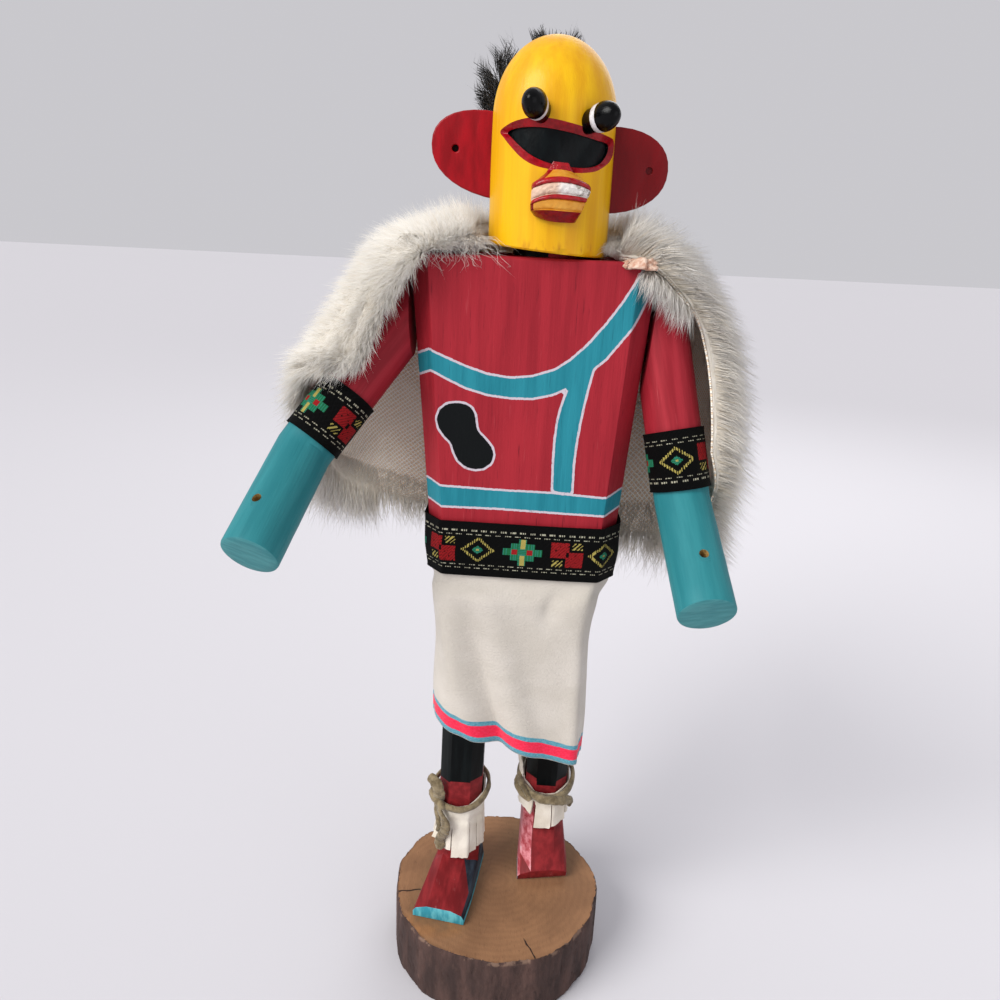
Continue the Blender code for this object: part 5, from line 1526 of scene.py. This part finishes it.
fleece = Finish("pile_hair", 0.6, sheen=0.2, shine=0.2)
hair_lay = fleece.axes("strand")
fleece_colour = fleece.blend(fleece.spread(hair_lay["Y"], 0.1, 0.8), tint(232, 224, 210), tint(252, 248, 241))
yellowed = fleece.spread(hair_lay["X"], 0.0, 0.35, 0.55, 0.0)
fleece_colour = fleece.blend(yellowed, fleece_colour, tint(220, 202, 170))
fleece_made = fleece.done(fleece_colour)
hair_chance = random.Random(41)


def grow_hairs(name, roots, finish, slot_name):
    """Tapering three sided hairs, each given as its bends, its half thickness and its shade."""
    points, faces, shades = [], [], []
    for bends, thick, shade in roots:
        first = len(points)
        along = (bends[1] - bends[0]).normalized()
        beside = along.orthogonal().normalized()
        other = along.cross(beside)
        levels = len(bends) - 1
        for level, bend in enumerate(bends[:-1]):
            wide = thick * (1.0 - 0.55 * level / levels)
            for k in range(3):
                turn = math.tau * k / 3 + shade * 9.0
                points.append(bend + wide * (math.cos(turn) * beside + math.sin(turn) * other))
                shades.extend((shade, level / levels, 0.0))
        points.append(bends[-1])
        shades.extend((shade, 1.0, 0.0))
        faces.append((first + 2, first + 1, first))
        for k in range(3):
            m = (k + 1) % 3
            for level in range(levels - 1):
                low, high = first + 3 * level, first + 3 * level + 3
                faces.append((low + k, low + m, high + m, high + k))
            top = first + 3 * (levels - 1)
            faces.append((top + k, top + m, first + 3 * levels))
    mesh = bpy.data.meshes.new(name)
    mesh.from_pydata(points, [], faces)
    layer = mesh.attributes.new("strand", "FLOAT_VECTOR", "POINT")
    layer.data.foreach_set("vector", shades)
    mesh.materials.append(finish)
    mesh.shade_smooth()
    hairs = bpy.data.objects.new(name, mesh)
    bpy.context.scene.collection.objects.link(hairs)
    fix_to_doll(hairs, slot_name)
    return hairs


def hair_way(u, v, stand, chance):
    """The way a hair of the pile leans: out of the knit, with its tuft, and down the cape."""
    point, out = on_net(u, v)
    below, _ = on_net(u, min(v + 0.03, 1.0))
    above, _ = on_net(u, max(v - 0.03, 0.0))
    down = (below - above).normalized()
    aside = down.cross(out)
    lean = uneven(u * 24, v * 8, 3.0)
    fan = uneven(u * 62, v * 23, 8.0)
    rise = uneven(u * 40, v * 15, 6.0)
    way = out * (stand + 0.35 * rise) + down * (1.0 - stand * 0.7) + aside * (0.8 * lean + 0.55 * fan)
    # By the head the pile stands up, it falls over the arms from both front edges, and round the
    # free left edge it stands away from the arm.
    near_head = max(0.0, 1.0 - v / 0.20)
    over_right_arm = max(0.0, 1.0 - u / 0.08)
    free_edge = max(0.0, 1.0 - (1.0 - u) / 0.14)
    way += Vector((0.0, -0.15, 1.25)) * near_head
    way += Vector((0.80, -0.45, -0.30)) * over_right_arm * (1.0 - 0.6 * near_head)
    way += Vector((1.35, -0.35, 0.35 - 0.75 * v)) * free_edge * (1.0 - 0.5 * near_head)
    way += Vector((chance.uniform(-0.24, 0.24), chance.uniform(-0.24, 0.24), chance.uniform(-0.24, 0.24)))
    return point, out, down, way.normalized()


def bent_hair(root, point, way, fall, length):
    """A hair of a length that starts one way from a point and then falls aside."""
    middle = point + way * length * 0.5
    return [root, middle, middle + (way + fall).normalized() * length * 0.5]


def short_hair(u, v, chance):
    point, out, _, way = hair_way(u, v, 0.85, chance)
    reach = 0.0085 + 0.0055 * chance.random() + 0.0020 * max(0.0, 1.0 - v / 0.5)
    if u < 0.08 or v > 0.95:
        reach *= 0.8
    return [point + out * 0.0004, point + way * reach]


def long_hair(u, v, chance):
    """Longest by the head, on the shoulders and at the free edge, and wispy at the tips."""
    near_head = max(0.0, 1.0 - v / 0.30)
    free_edge = max(0.0, 1.0 - (1.0 - u) / 0.12)
    over_right_arm = max(0.0, 1.0 - u / 0.10)
    point, out, _, way = hair_way(u, v, 0.80, chance)
    length = 0.0145 + 0.0025 * near_head + 0.0045 * free_edge - 0.0030 * over_right_arm
    length *= 0.60 + 0.70 * chance.random()
    fall = Vector((chance.uniform(-0.5, 0.5), chance.uniform(-0.5, 0.5), -0.40 - 0.25 * chance.random()))
    return bent_hair(point + out * 0.0004, point, way, fall * 0.8, length)


def hem_hair(u, chance):
    """Hair that hangs below the cut edge of the hem."""
    v = 1.0 - 0.10 * chance.random() ** 1.4
    point, out, down, _ = hair_way(u, v, 0.3, chance)
    lean = uneven(u * 40, 2.0, 3.0)
    outer = max(0.0, 1.0 - abs(u - 0.33) / 0.17)
    way = down + out * (0.35 + 0.35 * chance.random()) + Vector((0.6 * lean - 0.35 * outer, -0.1, -0.25))
    way += Vector((chance.uniform(-0.35, 0.35), chance.uniform(-0.3, 0.3), chance.uniform(-0.2, 0.2)))
    way.normalize()
    between = max(0.0, 1.0 - abs(u - 0.72) / 0.20)
    length = 0.0135 + 0.0170 * outer + 0.0110 * between
    length *= 0.45 + 0.85 * chance.random()
    if u < 0.16:
        length *= 0.62 + 0.30 * min(1.0, u / 0.10)
    wave = Vector((chance.uniform(-0.6, 0.6), chance.uniform(-0.4, 0.4), chance.uniform(-0.5, 0.1)))
    return bent_hair(point, point, way, wave, length)


def collar_hair(u, chance):
    """Thin curly hair from the cut edge round the neck, leaning in over the torso's top."""
    point, out, down, _ = hair_way(u, 0.01, 0.9, chance)
    inward = Vector((body_x - point.x, -0.006 - point.y, 0.0)).normalized()
    way = out * 0.5 - down * 0.25 + inward * chance.uniform(-0.1, 0.6) + Vector((0.0, -0.40, 0.65))
    way += Vector((chance.uniform(-0.7, 0.7), chance.uniform(-0.5, 0.5), chance.uniform(-0.4, 0.5)))
    length = 0.0060 + 0.0075 * chance.random()
    fall = Vector((chance.uniform(-0.7, 0.7), chance.uniform(-0.7, 0.3), -1.1))
    return bent_hair(point + down * 0.003 * chance.random(), point, way.normalized(), fall, length)


def tuft_hair(chance):
    """A lock from the left front edge that hangs over the top of the arm."""
    point, _ = on_net(1.0, 0.20 + 0.22 * chance.random())
    way = Vector((-0.15, -0.50, -0.65))
    way += Vector((chance.uniform(-0.4, 0.4), chance.uniform(-0.3, 0.2), chance.uniform(-0.3, 0.5)))
    length = 0.0060 + 0.0100 * chance.random()
    fall = Vector((chance.uniform(-0.4, 0.4), chance.uniform(-0.4, 0.1), -0.9))
    return bent_hair(point, point, way.normalized(), fall, length)


def stray_hair(chance):
    """A thin curly hair from the torso's upper right corner, fallen over its front."""
    x = -0.0450 + 0.0290 * chance.random() ** 1.6
    far = 0.5 + 1.0 * chance.random() ** 1.5
    bends = [Vector((x - 0.003, 0.0060 - 0.0120 * chance.random(), 0.3262))]
    bends.append(Vector((x + chance.uniform(-0.002, 0.003), -0.0092 - 0.004 * chance.random(),
                         0.3278 + 0.002 * chance.random())))
    drift = chance.uniform(-0.7, 1.3)
    for drop in (0.0016, 0.0024, 0.0026, 0.0020):
        step = Vector((0.0022 * drift + chance.uniform(-0.0026, 0.0026), chance.uniform(-0.0012, 0.0006),
                       -drop * chance.uniform(-0.1, 1.6)))
        bends.append(bends[-1] + step * far)
        bends[-1].y = min(bends[-1].y, -0.0110)
    return bends


# From and to which share of the way round, and how many short, long, hem and collar hairs.
hair_parts = (
    (0.0, 0.20, 15500, 8000, 2200, 1500),
    (0.20, 0.55, 11500, 4000, 7600, 1000),
    (0.55, 0.84, 9000, 3300, 5600, 300),
    (0.84, 1.0, 10500, 6500, 1500, 1300),
)
for part_number, (low_u, high_u, short_count, long_count, hem_count, collar_count) in enumerate(hair_parts):
    roots = []
    for n in range(short_count):
        u, v = hair_chance.uniform(low_u, high_u), hair_chance.random()
        roots.append((short_hair(u, v, hair_chance), 0.00013, hair_chance.random()))
    for n in range(long_count):
        u, v = hair_chance.uniform(low_u, high_u), hair_chance.random()
        if part_number == 0 and hair_chance.random() < 0.16:
            u = 0.05 * hair_chance.random() ** 1.5
        if part_number == 3 and hair_chance.random() < 0.25:
            u = 1.0 - 0.05 * hair_chance.random() ** 1.5
        bends = long_hair(u, v, hair_chance)
        roots.append((bends, 0.00008 + 0.00004 * hair_chance.random(), hair_chance.random()))
    for n in range(hem_count):
        u = hair_chance.uniform(low_u, high_u)
        if part_number == 1 and hair_chance.random() < 0.5:
            u = hair_chance.uniform(0.22, 0.44)
        bends = hem_hair(u, hair_chance)
        roots.append((bends, 0.00009 + 0.00003 * hair_chance.random(), hair_chance.random()))
    for n in range(collar_count):
        u = hair_chance.uniform(low_u, high_u)
        roots.append((collar_hair(u, hair_chance), 0.00009, 0.15 + hair_chance.random() * 0.8))
    if part_number == 0:
        for n in range(330):
            roots.append((stray_hair(hair_chance), 0.00008, 0.5 + hair_chance.random() * 0.5))
    if part_number == 3:
        for n in range(900):
            roots.append((tuft_hair(hair_chance), 0.00010, 0.4 + 0.6 * hair_chance.random()))
    grow_hairs(f"pile_hairs_{part_number}", roots, fleece_made, "white_pile")


# The skin side of the cape's torn front corner, stuck to the torso's left shoulder with old glue.
def torn_place(u, v):
    x, y = 0.0355 + 0.0115 * u, -0.0150 + 0.0075 * v
    lump = uneven(u * 3.2, v * 2.6, 9.0) + 0.6 * uneven(u * 8.0, v * 6.0, 4.0)
    edge = min(1.0, 5 * u, 5 * (1 - u), 4 * v, 4 * (1 - v))
    z = 0.3226 + 0.0016 * edge + 0.0026 * lump * edge - 0.0016 * (1.0 - v)
    return Vector((x + 0.0014 * lump, y - 0.0012 * lump, z)), (u, v, 0.0)


torn = lay_cloth("torn_corner", 26, 16, torn_place, False)
hide = Finish("torn_hide", 0.55, shine=0.3)
hide_stain = hide.grain((500.0, 500.0, 500.0), 4.0, 0.6)
hide_colour = hide.layer(tint(200, 150, 126), hide_stain, 0.38, 0.64, tint(232, 206, 186))
hide_colour = hide.layer(hide_colour, hide_stain, 0.40, 0.28, tint(172, 104, 92))
hide.relief(hide_stain, 0.0005)
torn.data.materials.append(hide.done(hide_colour))
settle(torn, ("SOLIDIFY", {"thickness": 0.0011, "offset": 0.0}))
torn.data.shade_smooth()
fix_to_doll(torn, "white_pile")

# Cuffs.
# A strip of soft white leather wound round each ankle over the leg, slit from below into tabs that
# have curled and splayed. The upper edge is folded in under the lace.
leather = Finish("white_leather", 0.7, sheen=0.15, shine=0.2)
leather_pores = leather.grain((900.0, 900.0, 900.0), 4.0, 0.6)
leather_cloud = leather.grain((90.0, 90.0, 60.0), 4.0)
leather_colour = leather.layer(pale(208, 199, 183), leather_cloud, 0.35, 0.7, pale(226, 219, 207))
leather_colour = leather.layer(leather_colour, leather_pores, 0.60, 0.78, tint(188, 172, 148), 0.35)
leather.relief(leather_pores, 0.00018)
leather_made = leather.done(leather_colour)
leg_reach = 0.00995
# Each cuff's middle at its top and at the ankle, the height of its upper edge and how far that is
# higher behind and on the doll's left, the height of the slits' ends, and how much the cuff dips.
cuffs = {
    "right": ((-0.0190, 0.0082, 0.0733), (-0.0193, 0.0083, 0.0450), (0.0782, 0.0042, 0.0020), 0.0650, 0.0),
    "left": ((0.0214, 0.0228, 0.0800), (0.0212, 0.0255, 0.0540), (0.0795, 0.0028, -0.0004), 0.0712, 0.30),
}
# Tabs from the doll's right round past its front, as degrees from the front: start, end, height of
# the lower end, how far it stands off, and how far it curls.
cuff_tabs = {
    "right": [
        (-172, -150, 0.0510, 0.4, 0.3), (-147, -122, 0.0500, 0.5, 0.5), (-119, -93, 0.0515, 0.6, 0.3),
        (-90, -66, 0.0520, 0.9, 0.8), (-60, -39, 0.0535, 1.6, 2.2), (-36, -16, 0.0500, 0.6, 0.4),
        (-14, 25, 0.0462, 0.9, 0.5), (26, 46, 0.0485, 0.5, 0.3), (49, 74, 0.0500, 0.5, 0.4),
        (76, 99, 0.0515, 0.5, 0.5), (102, 128, 0.0505, 0.6, 0.4), (131, 158, 0.0510, 0.5, 0.3),
        (160, 185, 0.0505, 0.4, 0.3),
    ],
    "left": [
        (-170, -140, 0.0660, 0.4, 0.3), (-137, -112, 0.0650, 0.5, 0.4), (-108, -84, 0.0640, 0.6, 0.5),
        (-80, -30, 0.0640, 1.0, 1.2), (-21, 17, 0.0565, 0.8, 0.6), (19, 58, 0.0575, 0.7, 0.5),
        (60, 92, 0.0600, 0.5, 0.4), (95, 122, 0.0650, 0.5, 0.3), (125, 152, 0.0660, 0.4, 0.3),
        (154, 187, 0.0660, 0.4, 0.3),
    ],
}


def leg_outline(turn):
    """The reach of an octagonal leg, rounded off, at an angle from its front."""
    side = math.cos((turn + math.pi / 8) % (math.pi / 4) - math.pi / 8)
    return leg_reach * (0.9 / side + 0.1)


def tied_height(side, degrees):
    """The height at which the lace holds the cuff, at an angle from the leg's front."""
    level, behind, across = cuffs[side][2]
    turn = math.radians(degrees)
    return level - behind * math.cos(turn) + across * math.sin(turn)


for side in ("right", "left"):
    top_middle, low_middle, _, slit_height, dip = cuffs[side]
    top_middle, low_middle = Vector(top_middle), Vector(low_middle)

    def cuff_place(u, v):
        degrees = -180.0 + 360.0 * u
        turn = math.radians(degrees)
        low, off, curl = 0.0560 if side == "right" else 0.0660, 0.4, 0.3
        centre = 0.0
        for first, last, lower_end, standing, curling in cuff_tabs[side]:
            if first - 1.5 <= degrees <= last + 1.5:
                low, off, curl = lower_end, standing, curling
                centre = (degrees - (first + last) / 2) / (last - first)
        ragged = 0.0004 * uneven(degrees * 0.12, 3.0, len(side))
        upper = tied_height(side, degrees) + 0.0006 * uneven(degrees * 0.02, 1.0, len(side))
        height = upper + (low + ragged * (v > 0.9) - upper) * v
        shift = (height - low_middle.z) / (top_middle.z - low_middle.z)
        middle = low_middle.lerp(top_middle, shift)
        hang = max(0.0, (slit_height - height) / (slit_height - low)) if low < slit_height else 0.0
        reach = leg_outline(turn) + 0.0006
        reach += 0.001 * off * hang ** 1.3 + 0.0010 * curl * hang ** 2 * (0.3 + centre * centre * 2.2)
        reach += 0.00035 * uneven(degrees * 0.05, height * 160, 4.0)
        reach -= 0.0006 * math.exp(-((height - slit_height - 0.0015) / 0.0014) ** 2)
        spoke = Vector((math.sin(turn), -math.cos(turn), 0.0))
        place = Vector((middle.x, middle.y, height)) + spoke * reach
        place.z += dip * (spoke.y * reach)
        return place, (degrees, height * 1000, 0.0)

    cuff = lay_cloth(f"{side}_leather_cuff", 184, 24, cuff_place, False)
    slits = []
    for last_tab, next_tab in zip(cuff_tabs[side], cuff_tabs[side][1:]):
        slits.append((last_tab[1], max(next_tab[0], last_tab[1] + 2.1)))
    shape = open_shape(cuff)
    lay = shape.verts.layers.float_vector["lay"]
    unwanted = []
    for face in shape.faces:
        degrees = sum(vertex[lay].x for vertex in face.verts) / len(face.verts)
        height = sum(vertex[lay].y for vertex in face.verts) / len(face.verts)
        for slit_number, (first, last) in enumerate(slits):
            slit_end = 1000 * slit_height - 1.2 + 1.6 * math.sin(slit_number * 2.3)
            if first <= degrees <= last and height < slit_end:
                unwanted.append(face)
    bmesh.ops.delete(shape, geom=unwanted, context="FACES")
    bmesh.ops.remove_doubles(shape, verts=shape.verts, dist=0.00001)
    close_shape(shape, cuff)
    cuff.data.materials.append(leather_made)
    settle(cuff, ("SOLIDIFY", {"thickness": 0.0008, "offset": 1.0}))
    smooth(cuff, 55)
    fix_to_doll(cuff, "white_leather", f"{side}_cuff")

# Laces.
# A flat lace of dull olive leather tied round each cuff, with a knot on its outer front, a tail that
# hangs twisted, and on the right leg a squared tab end that stands up from the knot.
lace_leather = Finish("olive_lace", 0.85, sheen=0.3, shine=0.15)
lace_nap = lace_leather.grain((1100.0, 1100.0, 1100.0), 5.0, 0.7)
lace_cloud = lace_leather.grain((260.0, 260.0, 260.0), 4.0, 0.6)
lace_colour = lace_leather.layer(tint(104, 90, 66), lace_cloud, 0.35, 0.66, tint(150, 134, 104))
lace_colour = lace_leather.layer(lace_colour, lace_nap, 0.58, 0.74, tint(182, 168, 136), 0.6)
lace_leather.relief(lace_nap, 0.0004)
lace_leather.relief(lace_cloud, 0.0008)
lace_made = lace_leather.done(lace_colour)


def wind_lace(name, path, wide, thin, lean, twist, finish):
    """A flat lace along a path, with pinched ends, that starts leaning and twists on from there."""

    def lace_place(u, v):
        here = curve_through(path, u)
        ahead = curve_through(path, min(u + 0.01, 1.0)) - curve_through(path, max(u - 0.01, 0.0))
        ahead.normalize()
        middle = Vector((path_middle.x, path_middle.y, here.z))
        out = here - middle
        out = (out - ahead * out.dot(ahead)).normalized()
        beside = ahead.cross(out)
        turn = math.tau * v
        swing = lean + twist * u + 0.35 * uneven(u * 6.0, len(name), 2.0)
        end = math.sqrt(max(0.0, min(1.0, 14.0 * u, 14.0 * (1.0 - u))))
        crease = 1.0 + 0.22 * uneven(u * 17.0, math.cos(turn) * 0.8, len(name))
        flat = wide * math.cos(turn) * end * crease
        deep = thin * math.sin(turn) * end * (1.0 + 0.30 * uneven(u * 30.0, 5.0, len(name)))
        span = beside * (flat * math.cos(swing) - deep * math.sin(swing))
        span += out * (flat * math.sin(swing) + deep * math.cos(swing))
        return here + span, (u, v, 0.0)

    lace = lay_cloth(name, 8 * (len(path) - 1), 12, lace_place, True)
    lace.data.materials.append(finish)
    shape = open_shape(lace)
    bmesh.ops.remove_doubles(shape, verts=shape.verts, dist=0.00003)
    bmesh.ops.recalc_face_normals(shape, faces=shape.faces)
    close_shape(shape, lace)
    lace.data.shade_smooth()
    return lace


def round_leg(side, degrees, height, off):
    """A place round a cuff, at degrees from the leg's front and a distance off the leather."""
    top_middle, low_middle, _, _, dip = cuffs[side]
    shift = (height - low_middle[2]) / (top_middle[2] - low_middle[2])
    middle = Vector(low_middle).lerp(Vector(top_middle), shift)
    turn = math.radians(degrees)
    reach = leg_outline(turn) + 0.0016 + off
    spoke = Vector((math.sin(turn), -math.cos(turn), 0.0))
    return Vector((middle.x, middle.y, height + dip * spoke.y * reach)) + spoke * reach


# Each lace's paths: degrees from the front, height, and distance off the leather, then its half
# width, half thickness and twist.
lace_paths = {
    "right": [
        ("loop", [(-62, .0757, .0008), (-30, .0744, .0010), (5, .0740, .0009), (40, .0757, .0008),
            (80, .0790, .0008), (120, .0818, .0008), (165, .0828, .0008), (210, .0812, .0008),
            (255, .0785, .0010), (292, .0764, .0012), (310, .0752, .0010)], .0018, .0010, 0.2),
        ("knot", [(-80, .0778, .0010), (-66, .0772, .0022), (-50, .0766, .0028), (-34, .0754, .0028),
            (-38, .0730, .0020), (-58, .0734, .0012)], .0018, .0013, 1.2),
        ("tail", [(-46, .0752, .0020), (-38, .0722, .0028), (-27, .0688, .0026), (-22, .0650, .0024),
            (-26, .0612, .0022), (-34, .0574, .0020), (-37, .0535, .0018),
            (-31, .0502, .0018)], .0024, .0011, 1.7),
        ("inner_tail", [(-54, .0745, .0012), (-52, .0705, .0018), (-47, .0664, .0018),
            (-43, .0622, .0016), (-47, .0580, .0014)], .0013, .0009, 0.9),
        ("tab", [(-48, .0760, .0014), (-43, .0790, .0022), (-42, .0825, .0028), (-46, .0862, .0036),
            (-60, .0886, .0052)], .0027, .0008, 0.25),
    ],
    "left": [
        ("loop", [(-70, .0784, .0008), (-35, .0772, .0010), (0, .0767, .0010), (30, .0768, .0010),
            (60, .0776, .0010), (95, .0794, .0008), (140, .0812, .0008), (185, .0822, .0008),
            (230, .0814, .0008), (270, .0797, .0010), (295, .0782, .0010)], .0019, .0011, 0.3),
        ("knot", [(-86, .0772, .0010), (-68, .0766, .0024), (-48, .0756, .0030), (-30, .0762, .0030),
            (-48, .0786, .0022), (-76, .0786, .0012)], .0017, .0013, 1.6),
        ("bow", [(-40, .0770, .0018), (-10, .0778, .0026), (14, .0774, .0030), (34, .0752, .0030),
            (48, .0726, .0024), (60, .0712, .0016)], .0021, .0012, 1.3),
        ("tail", [(30, .0762, .0016), (46, .0738, .0024), (58, .0710, .0024), (62, .0684, .0022),
            (55, .0668, .0018)], .0016, .0010, 0.8),
        ("strip", [(-78, .0772, .0002), (-79, .0815, .0004), (-78, .0860, .0008), (-76, .0905, .0016),
            (-72, .0945, .0024)], .0021, .0008, 0.2),
    ],
}
for side in ("right", "left"):
    path_middle = Vector(cuffs[side][1])
    laces = []
    for part_name, stops, wide, thin, twist in lace_paths[side]:
        lean = -0.75 if part_name in ("tab", "tail") and side == "right" else 0.0
        path = [round_leg(side, degrees, height, off + thin * 0.4) for degrees, height, off in stops]
        finish = leather_made if part_name == "strip" else lace_made
        laces.append(wind_lace(f"{side}_lace_{part_name}", path, wide, thin, lean, twist, finish))
    pick_up(laces[0])
    for lace in laces:
        lace.select_set(True)
    bpy.ops.object.join()
    tied = bpy.context.object
    tied.name = f"{side}_tied_lace"
    fix_to_doll(tied, "tan_lace", f"{side}_lace")

# Feathers.
# A bunch of soft black down glued to the back of the head: a tuft that shows at the doll's right
# side and a shorter one over the crown, with a few stray barbs.
down_finish = Finish("black_down", 0.7, sheen=0.25, shine=0.2)
barb_lay = down_finish.axes("strand")
down_colour = down_finish.blend(barb_lay["Y"], tint(4, 5, 7), tint(15, 17, 21))
down_colour = down_finish.layer(down_colour, barb_lay["X"], 0.9, 1.0, tint(84, 88, 94), 0.3)
down_made = down_finish.done(down_colour)
feather_chance = random.Random(7)
feather_knot = Vector((head_x - 0.007, head_y + head_radius + 0.0020, 0.3737))
# Locks of down, each given from the knot in millimetres: where it starts, where its point is, how
# wide it fans, and how many barbs it has. They fan out past the head at its right, and lie low over
# the crown. The last ones are the soft stems that lead there from the knot.
locks = [
    ((-9, 1, 4), (-15, 0, 28), 2.4, 150), ((-10, 1, 4), (-19, 0, 25), 2.2, 150),
    ((-10, 1, 2), (-22, -1, 21), 2.2, 160), ((-11, 1, 1), (-24, -1, 16), 2.2, 180),
    ((-11, 1, -1), (-23, 0, 12), 2.4, 200), ((-12, 1, -3), (-24, 0, 6), 2.4, 220),
    ((-12, 1, -4), (-24, 1, 1), 2.4, 220), ((-12, 1, -6), (-23, 1, -4), 2.4, 220),
    ((-12, 1, -8), (-22, 1, -9), 2.4, 200), ((-12, 1, -10), (-20, 1, -14), 2.4, 180),
    ((-11, 2, -2), (-19, 2, 3), 3.6, 300), ((-11, 2, -6), (-19, 2, -6), 3.6, 300),
    ((-10, 2, 4), (-18, 2, 14), 3.0, 200), ((-12, 2, -10), (-19, 2, -13), 3.0, 160),
    ((-8, 2, 12), (-13, 2, 22), 1.8, 60), ((0, 2, 22), (-3, 2, 32), 2.0, 120),
    ((2, 2, 22), (1, 2, 32), 2.2, 130), ((4, 2, 22), (5, 2, 31), 2.2, 130),
    ((7, 2, 21), (9, 2, 31), 2.2, 140), ((9, 2, 20), (13, 2, 32), 2.2, 150),
    ((10, 2, 19), (15, 2, 30), 2.2, 130), ((-3, 1, 3), (-14, 1, 12), 2.8, 130),
    ((-3, 1, 0), (-16, 1, 2), 2.8, 140), ((-3, 1, -3), (-15, 1, -8), 2.8, 130),
    ((-2, 1, 5), (-9, 1, 17), 2.8, 110), ((0, 1, 4), (0, 2, 26), 2.8, 190),
    ((2, 1, 4), (5, 2, 26), 2.8, 190), ((3, 1, 3), (10, 2, 25), 2.8, 190),
]
for turn in range(0, 360, 40):
    spoke = Vector((math.cos(math.radians(turn)), 0.0, math.sin(math.radians(turn))))
    locks.append((spoke * 2 + Vector((0, 1.5, 0)), spoke * 10 + Vector((0, 3.5, 0)), 2.8, 60))
barbs = []
for start, end, fan, count in locks:
    start, end = feather_knot + Vector(start) * 0.001, feather_knot + Vector(end) * 0.001
    run = end - start
    bow = Vector((run.z, 0.0, -run.x)) * 0.10 * feather_chance.choice((-1.0, 1.0))
    for n in range(round(count * 0.8)):
        wide = Vector([feather_chance.gauss(0.0, way) for way in (1.0, 1.1, 1.0)])
        first = feather_chance.random() ** 1.3 * 0.75
        last = min(1.05, first + 0.30 + 0.35 * feather_chance.random())
        root = start + run * first + wide * 0.0004 * fan * (0.9 - 0.4 * first)
        middle = start + run * (first + last) * 0.5 + bow + wide * 0.00055 * fan
        spread_tip = wide * 0.00070 * fan * (1.15 - 0.55 * last)
        tip = start + run * last + spread_tip
        thick = 0.00013 + 0.00008 * feather_chance.random()
        barbs.append(([root, middle, tip], thick, feather_chance.random()))
stray_barbs = [
    ((14, 2, 12), (25, 0, 21)), ((12, 2, 16), (18, 1, 27)), ((8, 2, 22), (12, 1, 36)),
    ((9, 2, 22), (14, 2, 37)), ((-8, 2, 12), (-14, 1, 32)), ((-9, 2, 10), (-17, 1, 31)),
    ((-11, 1, 4), (-28, -1, 19)), ((-12, 1, 0), (-29, -1, 12)), ((-8, 2, 14), (-12, 1, 33)),
]
for start, end in stray_barbs:
    root, tip = feather_knot + Vector(start) * 0.001, feather_knot + Vector(end) * 0.001
    middle = root.lerp(tip, 0.5) + Vector((0.0005, 0.0, 0.0010))
    barbs.append(([root, middle, tip], 0.00010, feather_chance.random()))
grow_hairs("black_down_barbs", barbs, down_made, "black_down")
bpy.ops.mesh.primitive_uv_sphere_add(segments=32, ring_count=20, radius=1.0)
knot_pad = start_piece("feather_knot")
bpy.ops.object.mode_set(mode="OBJECT")
for vertex in knot_pad.data.vertices:
    lump = 1.0 + 0.18 * noise.noise(vertex.co * 2.2)
    vertex.co = feather_knot + Matrix.Diagonal((0.0075, 0.0026, 0.0085)) @ vertex.co * lump
knot_pad.data.materials.append(down_made)
knot_pad.data.shade_smooth()
fix_to_doll(knot_pad, "black_down", "feathers")

low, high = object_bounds()
